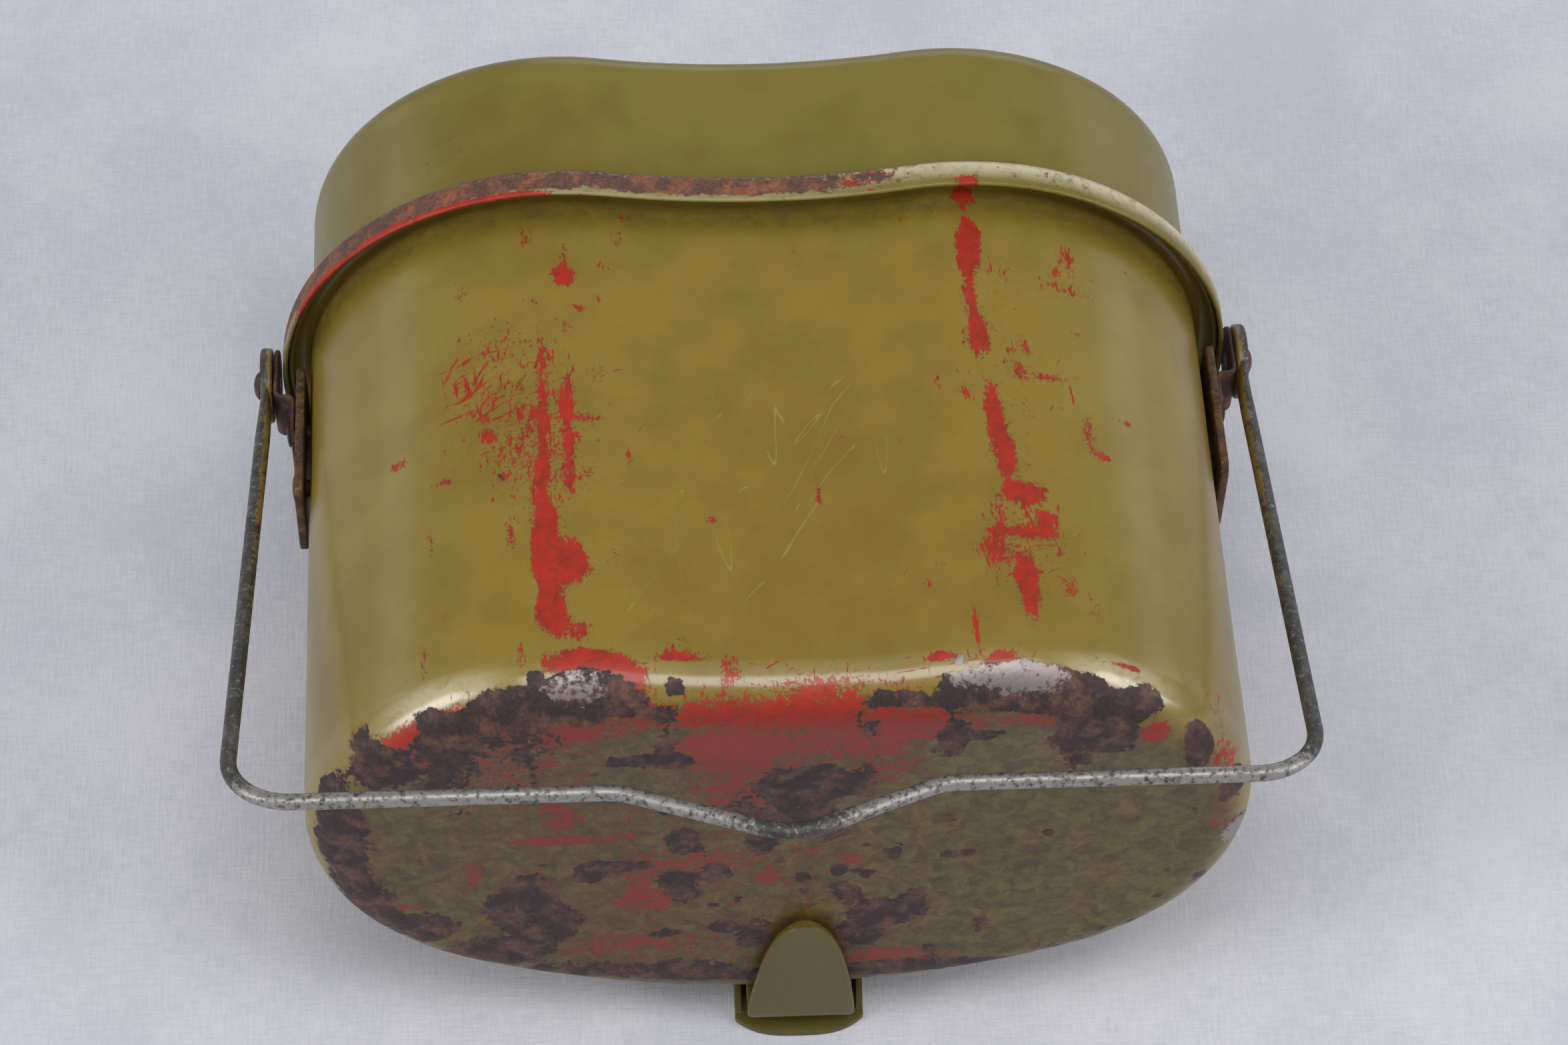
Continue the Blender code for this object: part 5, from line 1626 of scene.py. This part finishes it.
@dataclass
class Bail:
    """The wire bail with flattened eyes and a notched bar."""

    ears: Ears
    wire: float = 0.0014
    length: float = 0.117
    half_at_bar: float = 0.0914
    shift_at_bar: float = -0.0020
    corner: float = 0.011
    notch_depth: float = 0.012
    notch_half: float = 0.027
    notch_shift: float = -0.0012
    notch_skew: float = 0.0015
    rest: float = 15.9
    eye_radius: float = 0.007
    neck: float = 0.0042

    def centre_line(self) -> list[Vector]:
        """Points of the wire from the left eye to the right one, as (x, distance from the axis).

        Returns:
            The points.
        """
        left_x = self.notch_shift - self.notch_half
        right_x = self.notch_shift + self.notch_half
        low = (self.notch_shift + self.notch_skew, self.length + self.notch_depth)
        corner_left = (self.shift_at_bar - self.half_at_bar, self.length)
        corner_right = (self.shift_at_bar + self.half_at_bar, self.length)
        eye = self.ears.eye_x
        left = rounded([(-eye, 0.0), corner_left, (left_x, self.length)], self.corner, 16)
        right = rounded([(right_x, self.length), corner_right, (eye, 0.0)], self.corner, 16)
        bends = [left[-2], (left_x, self.length), low, (right_x, self.length), right[1]]
        middle = rounded(bends, 0.012, 10)
        path = self.arm(-1) + left[1:-1] + middle[1:-1] + right[1:-1] + self.arm(1)
        return self.filled(path)

    def arm(self, side: int) -> list[Vector]:
        """Points on an arm beside its eye.

        Args:
            side: -1 for the left, 1 for the right.

        Returns:
            The points.
        """
        lean = (self.half_at_bar + side * self.shift_at_bar - self.ears.eye_x) / self.length
        steps = [0.0028 + 0.0012 * i for i in range(14)]
        points = [Vector((side * (self.ears.eye_x + lean * s), s)) for s in steps]
        return points if side < 0 else points[::-1]

    def filled(self, path: list[Vector]) -> list[Vector]:
        """Add points so that no stretch is longer than 3 mm.

        Args:
            path: The points.

        Returns:
            The points.
        """
        made = [path[0]]
        for point in path[1:]:
            gap = point - made[-1]
            for i in range(1, int(gap.length / 0.003) + 1):
                made.append(path[path.index(point) - 1] + gap * (i / (int(gap.length / 0.003) + 1)))
            made.append(point)
        return made

    def section(self, point: Vector) -> tuple[float, float]:
        """Half sizes of the wire across and out of the bail's plane.

        Args:
            point: A point of the wire.

        Returns:
            The half sizes.
        """
        t = min(max((point.y - 0.005) / 0.012, 0.0), 1.0)
        t = t * t * (3 - 2 * t)
        thin = self.ears.eye / 2 - 0.0001
        return thin + (self.wire - thin) * t, self.neck + (self.wire - self.neck) * t

    def to_space(self, x: float, s: float, out: float) -> Vector:
        """Bail coordinates to kit coordinates.

        Args:
            x: Kit x.
            s: Distance from the axis.
            out: Distance out of the bail's plane.

        Returns:
            The point in kit coordinates.
        """
        rest = math.radians(self.rest)
        y = self.ears.pivot_y - s * math.cos(rest) + out * math.sin(rest)
        return Vector((x, y, OUTLINE.end_z + s * math.sin(rest) + out * math.cos(rest)))

    def eye_mesh(self, side: int) -> Mesh:
        """The flattened eye on one side, with rounded rims.

        Args:
            side: -1 for the left, 1 for the right.

        Returns:
            The mesh.
        """
        half, radius = self.ears.eye / 2, self.eye_radius
        profile = [(0, -half), (radius - 0.0005, -half), (radius - 0.00015, -half + 0.00015)]
        profile += [(radius, -half + 0.0005), (radius, half - 0.0005), (radius - 0.00015, half - 0.00015)]
        profile += [(radius - 0.0005, half), (0, half)]
        start = Vector((side * self.ears.eye_x, self.ears.pivot_y, OUTLINE.end_z))
        return turned(profile, start, Vector((side, 0, 0)), 48)

    def wear_fields(self, piece: Piece) -> None:
        """Store where the bail is worn: paint is left on the inner sides of its arms.

        Args:
            piece: The piece.
        """
        points = piece.points()
        x, y, z = (points / MM).T
        rest = math.radians(self.rest)
        apart = points - np.array([0, self.ears.pivot_y, OUTLINE.end_z])
        reach = (apart[:, 1] * -math.cos(rest) + apart[:, 2] * math.sin(rest)) / MM
        out = (apart[:, 1] * math.sin(rest) + apart[:, 2] * math.cos(rest)) / MM
        arm = np.clip((108 - reach) / 6, 0, 1)
        lean = (self.half_at_bar - self.ears.eye_x) / self.length
        middle = (self.ears.eye_x / MM) + lean * reach + np.sign(x) * self.shift_at_bar / MM * reach / 117
        inner = np.clip((middle - np.abs(x) + 0.35) / 0.9, 0, 1)
        kept = arm * inner * np.clip((118 - reach) / 90, 0.15, 1.0)
        bar = np.clip((reach - 112) / 3, 0, 1)
        under = np.clip((-out + 0.2) / 0.8, 0, 1)
        kept_bar = bar * under * np.exp(-(((x - 62) / 24) ** 2)) * 0.9
        eye = np.exp(-((reach / 9) ** 2)) * 0.35
        bare = 0.97 - 0.62 * np.clip(kept + kept_bar + eye, 0, 1)
        polish = 0.42 + 0.25 * bar
        rust = np.exp(-(((x - 0.5) / 8) ** 2)) * bar
        piece.carry(bare=bare, polish=polish - 0.3 * rust, primer=0.04 + 0.4 * rust, grime=0.2)

    def build(self, finish: Material) -> None:
        """Make the bail.

        Args:
            finish: Its worn steel.
        """
        mesh = sweep(self.centre_line(), self.section, self.to_space, 24)
        piece = Piece("bail_bent_wire", mesh)
        ears = self.ears
        for side in (-1, 1):
            piece.cut(self.eye_mesh(side), "UNION")
            x = side * ears.eye_x
            hole = rod((x - 0.003, ears.pivot_y, OUTLINE.end_z), (x + 0.003, ears.pivot_y, OUTLINE.end_z),
                       ears.stud + ears.gap)
            piece.cut(hole)
        piece.crease(48)
        self.wear_fields(piece)
        piece.dress(Body.BAIL, Slot.WIRE, ["bail_wire"], finish)


@dataclass
class Handle:
    """The channel handle hinged on the lid, with its hook leaf, and the hinge itself."""

    x: float = 0.0045
    pin_y: float = 0.1228
    pin_drop: float = 0.0048
    pin: float = 0.0015
    pin_head: float = 0.0024
    half: float = 0.0118
    thick: float = 0.0012
    drop: float = 0.0087
    end: float = -0.0021
    end_sag: float = 0.0040
    end_power: float = 3.2
    floor_stop: float = 0.1188
    flange_top: float = -0.0024
    relief: float = 0.0061
    ring_low: float = 0.1044
    lug: float = 0.0024
    lug_gap: float = 0.0007
    plate: float = 0.0012
    plate_half: float = 0.0185
    plate_low: float = 0.1143
    plate_high: float = 0.1328
    rivet_side: float = 0.0153
    rivet_spread: float = 0.006
    rivet: float = 0.0013
    rivet_head: float = 0.0023
    leaf: float = 0.0015
    leaf_half: float = 0.0097
    leaf_end: float = 0.054
    rise_start: float = 0.030
    rise_end: float = 0.007
    leaf_top: float = -0.0018
    leaf_bend: float = 0.0023
    tongue_face: float = -0.0023
    tongue_tip: float = 0.0302
    hook_rivets: tuple = (0.037, 0.048)
    hook_rivet: float = 0.0015
    hook_rivet_head: float = 0.0027
    gap: float = 0.0003
    dome: float = 0.0012
    sheet: float = SHEET

    def side_space(self, u: float, v: float, w: float) -> Vector:
        """Side view (y, z) and distance across to kit coordinates."""
        return Vector((self.x + w, u, v))

    def channel_mesh(self) -> Mesh:
        """The channel's solid side view, before it is hollowed.

        Returns:
            The mesh.
        """
        knuckle = self.lug + 0.0004
        floor = -self.drop + self.thick
        points = [(self.end, -self.drop), (self.floor_stop, -self.drop)]
        points += arc((self.pin_y, -self.pin_drop), knuckle, -60, 90, 12)
        points += [(self.pin_y - 0.004, -self.pin_drop + knuckle), (0.1139, -self.relief)]
        points += [(self.ring_low - 0.0015, -self.relief), (self.ring_low - 0.008, self.flange_top)]
        points.append((0.008, self.flange_top))
        points += [(0.0032, floor + 0.0008), (0.0025, floor), (self.end, floor)]
        return prism(points, self.side_space, -self.half, self.half)

    def hollow_mesh(self) -> Mesh:
        """Cutter for the space between the flanges.

        Returns:
            The mesh.
        """
        floor, stop = -self.drop + self.thick, self.floor_stop - 0.001
        points = [(-0.02, floor), (stop, floor), (stop, -0.02), (0.14, -0.02), (0.14, 0.01), (-0.02, 0.01)]
        half = self.half - self.thick
        return prism(points, self.side_space, -half, half)

    def end_mesh(self) -> Mesh:
        """Cutter for the rounded corners of the channel's free end.

        Returns:
            The mesh.
        """
        half = self.half + 0.0005
        points = [(self.x + half, -0.03), (self.x - half, -0.03)]
        for i in range(-24, 25):
            share = math.sin(i / 24 * math.pi / 2)
            points.append((self.x + half * share, self.end + self.end_sag * abs(share) ** self.end_power))
        low, high = -self.drop - 0.002, -self.drop + self.thick + 0.004
        return prism(points, lambda u, v, w: Vector((u, v, w)), low, high)

    def leaf_foot(self) -> float:
        """Middle height of the leaf on the channel's floor."""
        return -self.drop + self.thick + self.gap + self.leaf / 2

    def leaf_mesh(self) -> Mesh:
        """The spring leaf: foot, rise, bend and rounded tongue.

        Returns:
            The mesh.
        """
        top, face = self.leaf_top - self.leaf / 2, self.tongue_face + self.leaf / 2
        root, foot = top + self.leaf_bend, self.leaf_foot()
        path = [Vector((self.leaf_end, foot)), Vector((self.leaf_end - 0.012, foot)), Vector((self.rise_start, foot))]
        for i in range(1, 16):
            t = i / 16
            ease = t * t * (3 - 2 * t)
            path.append(Vector((self.rise_start + (self.rise_end - self.rise_start) * t, foot + (top - foot) * ease)))
        path += rounded([(self.rise_end, top), (face, top), (face, root + 0.001)], self.leaf_bend, 10)
        halves = [self.leaf_half] * len(path)
        for i in range(1, 33):
            t = math.sin(i / 33 * math.pi / 2)
            z = root + 0.001 + (self.tongue_tip - root - 0.001) * t
            path.append(Vector((face, z)))
            taper = 1 - 0.07 * math.sin(math.pi * t)
            halves.append(self.leaf_half * taper * math.sqrt(max(1 - t * t, 0.0004)))
        return strip(path, halves, self.leaf, self.side_space)

    def hinge_plate_mesh(self) -> Mesh:
        """The curved plate riveted on the lid's back.

        Returns:
            The mesh.
        """
        radius, middle = OUTLINE.back_radius, math.asin(self.x / OUTLINE.back_radius)
        bm = bmesh.new()
        rows = []
        for i in range(25):
            s = self.plate_half * (2 * i / 24 - 1)
            into = max(abs(s) - (self.plate_half - 0.003), 0.0)
            lost = 0.003 - math.sqrt(max(0.003**2 - into**2, 0.0))
            turn = middle + s / radius
            row = []
            for off in (self.gap, self.gap + self.plate):
                x, z = (radius + off) * math.sin(turn), radius - (radius + off) * math.cos(turn)
                row.append([bm.verts.new((x, y, z)) for y in (self.plate_low + lost, self.plate_high - lost)])
            rows.append(row)
        for a, b in zip(rows, rows[1:]):
            bm.faces.new((a[0][0], a[0][1], b[0][1], b[0][0]))
            bm.faces.new((a[1][0], b[1][0], b[1][1], a[1][1]))
            bm.faces.new((a[0][0], b[0][0], b[1][0], a[1][0]))
            bm.faces.new((a[0][1], a[1][1], b[1][1], b[0][1]))
        for row in (rows[0], rows[-1]):
            bm.faces.new((row[0][0], row[0][1], row[1][1], row[1][0]))
        return mesh_from(bm)

    def lug_mesh(self, side: int) -> Mesh:
        """One hinge lug on the plate.

        Args:
            side: -1 for the left, 1 for the right.

        Returns:
            The mesh.
        """
        outer = self.half - self.thick - self.lug_gap
        near, far = self.x + side * outer, self.x + side * (outer - self.plate)
        wall = OUTLINE.back_radius - math.sqrt((OUTLINE.back_radius + self.gap) ** 2 - ((near + far) / 2) ** 2)
        root = wall - self.plate / 2
        points = [(self.pin_y + 0.004, root)] + arc((self.pin_y, -self.pin_drop), self.lug, 0, -180, 16)
        points.append((self.pin_y - 0.004, root))
        return prism(points, lambda u, v, w: Vector((w, u, v)), near, far)

    def rivet_places(self) -> list[tuple[float, float]]:
        """(angle on the back, y) of each hinge rivet.

        Returns:
            The places.
        """
        middle = math.asin(self.x / OUTLINE.back_radius)
        turn = self.rivet_side / OUTLINE.back_radius
        return [(middle + side * turn, self.pin_y + row * self.rivet_spread) for side in (-1, 1) for row in (-1, 1)]

    def back_point(self, turn: float, y: float, offset: float) -> Vector:
        """A point off the lid's round back."""
        reach = OUTLINE.back_radius + offset
        return Vector((reach * math.sin(turn), y, OUTLINE.back_radius - reach * math.cos(turn)))

    def build_hinge(self, ears: Ears, paint: Material, steel: Material) -> None:
        """Make the hinge plate, its rivets and its pin.

        Args:
            ears: Gives small pieces their wear.
            paint: Finish of the plate.
            steel: Finish of the rivets and the pin.
        """
        plate = Piece("hinge_strap", self.hinge_plate_mesh())
        plate.bevel(0.0003, 2)
        for side in (-1, 1):
            plate.cut(self.lug_mesh(side), "UNION")
        pin_z = -self.pin_drop
        plate.cut(rod((self.x - 0.02, self.pin_y, pin_z), (self.x + 0.02, self.pin_y, pin_z), self.pin + self.gap))
        for turn, y in self.rivet_places():
            plate.cut(rod(self.back_point(turn, y, -0.003), self.back_point(turn, y, 0.004), self.rivet + self.gap))
        plate.crease(40)
        ears.fields(plate, 0.3, 0.1)
        plate.dress(Body.LID, Slot.HANDLE, ["hinge_plate"], paint)
        face = self.gap + self.plate + self.gap
        for i, (turn, y) in enumerate(self.rivet_places()):
            profile = rivet_profile(self.rivet, self.rivet_head, self.dome, face + self.sheet + self.gap, 0.002)
            start = self.back_point(turn, y, face)
            out = start - Vector((0, y, OUTLINE.back_radius))
            rivet = Piece(f"hinge_rivet_head_{i + 1}", turned(profile, start, out))
            rivet.crease(40)
            ears.fields(rivet, 0.45, 0.1, 0.2)
            rivet.dress(Body.LID, Slot.RIVET, [f"hinge_rivet_{i + 1}"], steel)
        reach = self.half + self.gap
        profile = [(0, -reach - 0.001), (self.pin_head * 0.7, -reach - 0.001), (self.pin_head, -reach - 0.0006)]
        profile += [(self.pin_head, -reach), (self.pin, -reach), (self.pin, reach), (self.pin_head, reach)]
        profile += [(self.pin_head, reach + 0.0006), (self.pin_head * 0.7, reach + 0.001), (0, reach + 0.001)]
        pin = Piece("hinge_pin_turned", turned(profile, Vector((self.x, self.pin_y, pin_z)), Vector((1, 0, 0))))
        pin.crease(40)
        ears.fields(pin, 0.8, 0.0, 0.4)
        pin.dress(Body.LID, Slot.PIN, ["hinge_pin"], steel)

    def build_channel(self, ears: Ears, paint: Material, steel: Material) -> None:
        """Make the channel, the hook leaf and its rivets.

        Args:
            ears: Gives small pieces their wear.
            paint: Finish of the channel and the leaf.
            steel: Finish of the rivets.
        """
        channel = Piece("handle_trough", self.channel_mesh())
        channel.cut(self.hollow_mesh())
        channel.cut(self.end_mesh())
        channel.bevel(0.00025, 2)
        pin_z = -self.pin_drop
        channel.cut(rod((self.x - 0.02, self.pin_y, pin_z), (self.x + 0.02, self.pin_y, pin_z), self.pin + self.gap))
        leaf = Piece("hook_spring_leaf", self.leaf_mesh())
        foot = self.leaf_foot()
        for y in self.hook_rivets:
            hole = self.hook_rivet + self.gap
            channel.cut(rod((self.x, y, -self.drop - 0.002), (self.x, y, -self.drop + 0.003), hole))
            leaf.cut(rod((self.x, y, foot - 0.002), (self.x, y, foot + 0.002), hole))
        for piece in (channel, leaf):
            piece.crease(45)
        ears.fields(channel, 0.1, 0.06, 0.1, 0.25)
        self.leaf_fields(leaf)
        channel.dress(Body.HANDLE, Slot.HANDLE, ["handle_channel"], paint)
        leaf.dress(Body.HANDLE, Slot.HANDLE, ["hook_leaf"], paint)
        head = foot + self.leaf / 2 + self.gap
        for i, y in enumerate(self.hook_rivets):
            profile = rivet_profile(self.hook_rivet, self.hook_rivet_head, self.dome, head + self.drop, 0)
            rivet = Piece(f"hook_rivet_head_{i + 1}", turned(profile, Vector((self.x, y, head)), Vector((0, 0, 1))))
            rivet.crease(40)
            ears.fields(rivet, 0.4, 0.1, 0.2)
            rivet.dress(Body.HANDLE, Slot.RIVET, [f"hook_rivet_{i + 1}"], steel)

    def leaf_fields(self, leaf: Piece) -> None:
        """Store where the hook leaf is worn: only at the tip of its tongue.

        Args:
            leaf: The leaf.
        """
        points = leaf.points()
        tip = wear(points, [Mark((self.x / MM, -2.3, 31.5), (2.6, 3, 1.6), 1.0)])
        leaf.carry(bare=0.42 * tip + 0.02, primer=0.5 * tip + 0.03, polish=tip, grime=0.1)


# The studio


@dataclass
class Studio:
    """Pale floor, soft light and the camera."""

    target: Point = (0.00453, 0.080, 0.03934)
    distance: float = 0.82814
    tilt: float = 53.75
    heading: float = 4.41
    roll: float = 2.02
    lens: float = 102.01
    floor_size: float = 6.0

    def light(self, name: str, place: Point, size: tuple[float, float], power: float, colour: Colour) -> None:
        """Args:
            name: Its name.
            place: Where it stands.
            size: Width and height.
            power: Watts.
            colour: Its colour.
        """
        data = bpy.data.lights.new(name, "AREA")
        data.shape = "RECTANGLE"
        data.size, data.size_y = size
        data.energy = power
        data.color = colour
        lamp = bpy.data.objects.new(name, data)
        lamp.location = place
        lamp.rotation_mode = "QUATERNION"
        lamp.rotation_quaternion = (Vector((0, 0, 0.05)) - Vector(place)).to_track_quat("-Z", "Y")
        bpy.context.scene.collection.objects.link(lamp)

    def build(self) -> None:
        """Make the floor, the lights, the surroundings and the camera."""
        bm = bmesh.new()
        bmesh.ops.create_grid(bm, x_segments=4, y_segments=4, size=self.floor_size / 2)
        mesh = bpy.data.meshes.new("studio_floor")
        bm.to_mesh(mesh)
        bm.free()
        floor = bpy.data.objects.new("studio_floor", mesh)
        floor.location.z = -0.00005
        mesh.materials.append(PaleCloth().build())
        bpy.context.scene.collection.objects.link(floor)
        self.light("overhead_soft_light", (0.05, -0.42, 1.35), (1.0, 0.5), 8.0, (1.0, 0.99, 0.97))
        self.light("left_soft_light", (-1.45, 1.0, 0.35), (0.8, 0.5), 1.3, (0.97, 0.98, 1.0))
        self.light("right_soft_light", (1.45, 1.0, 0.35), (0.8, 0.5), 1.3, (0.97, 0.98, 1.0))
        self.light("near_left_soft_light", (-1.2, -0.55, 0.72), (0.45, 0.9), 9.0, (1.0, 0.98, 0.97))
        self.light("near_right_soft_light", (1.2, -0.55, 0.72), (0.45, 0.9), 8.5, (1.0, 0.98, 0.97))
        self.light("back_soft_light", (0.45, 1.7, 0.45), (1.3, 0.5), 3.0, (0.98, 0.99, 1.0))
        world = bpy.data.worlds.new("pale_room")
        world.use_nodes = True
        back = world.node_tree.nodes["Background"]
        back.inputs["Color"].default_value = (0.80, 0.83, 0.90, 1.0)
        back.inputs["Strength"].default_value = 0.40
        bpy.context.scene.world = world
        bpy.context.scene.view_settings.view_transform = "Standard"
        self.camera()

    def camera(self) -> None:
        tilt, heading, roll = (math.radians(a) for a in (self.tilt, self.heading, self.roll))
        ahead = Vector((math.sin(heading) * math.cos(tilt), math.cos(heading) * math.cos(tilt), -math.sin(tilt)))
        level = Vector((math.cos(heading), -math.sin(heading), 0))
        over = level.cross(ahead)
        right = level * math.cos(roll) + over * math.sin(roll)
        up = over * math.cos(roll) - level * math.sin(roll)
        data = bpy.data.cameras.new("kit_camera")
        data.lens = self.lens
        data.sensor_width = 36.0
        camera = bpy.data.objects.new("kit_camera", data)
        turn = Matrix((right, up, -ahead)).transposed().to_4x4()
        place = kit_origin() + Vector(self.target) - ahead * self.distance
        camera.matrix_world = Matrix.Translation(place) @ turn
        bpy.context.scene.collection.objects.link(camera)
        bpy.context.scene.camera = camera


def finishes(effects: Effects) -> dict[str, Material]:
    """Args:
        effects: The shared effects.

    Returns:
        The materials by name.
    """
    dark, warm = shade(58, 42, 36), shade(104, 64, 42)
    return {
        "pot": WornPaint("pot_worn_olive").build(effects),
        "lid": WornPaint("lid_worn_olive", paint=shade(110, 98, 34), paint_light=shade(122, 111, 46),
                         steel_dark=shade(92, 66, 56), steel_warm=shade(138, 86, 58), stretch=(2.4, 1.0, 1.0)
                         ).build(effects),
        "handle": WornPaint("handle_olive", paint=shade(84, 75, 22), paint_light=shade(92, 82, 28),
                            line=shade(180, 176, 140)).build(effects),
        "ear": WornPaint("ear_rusty_olive", paint=shade(112, 88, 34), paint_light=shade(124, 98, 40),
                         steel_dark=dark, steel_warm=warm, patch_scale=0.7, steel_scale=0.5).build(effects),
        "rivet": WornPaint("rivet_rusty_steel", paint=shade(100, 80, 36), paint_light=shade(110, 88, 42),
                           steel_dark=dark, steel_warm=warm, patch_scale=0.9, steel_scale=0.8).build(effects),
        "wire": WornPaint("wire_worn_steel", paint=shade(132, 106, 44), paint_light=shade(146, 122, 60),
                          steel_dark=shade(70, 70, 68), steel_warm=shade(94, 92, 86), stain=shade(104, 92, 66),
                          steel_bright=shade(150, 148, 142), patch_scale=0.8, steel_scale=0.35,
                          steel_metal=0.45, steel_rough=0.48, shine_metal=0.6, depth=0.00004).build(effects),
        "inside": InnerSteel().build(effects),
    }


def main() -> None:
    logging.basicConfig(level=logging.INFO, format="%(name)s %(message)s")
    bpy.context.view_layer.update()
    Studio().build()
    effects = Effects()
    made = finishes(effects)
    ears = Ears()
    Pot().build(made["pot"], made["inside"])
    Lid().build(made["lid"], made["inside"])
    ears.build(made["ear"], made["rivet"])
    Bail(ears).build(made["wire"])
    handle = Handle()
    handle.build_hinge(ears, made["handle"], made["rivet"])
    handle.build_channel(ears, made["handle"], made["rivet"])
    bpy.context.view_layer.update()


if __name__ == "__main__":
    main()
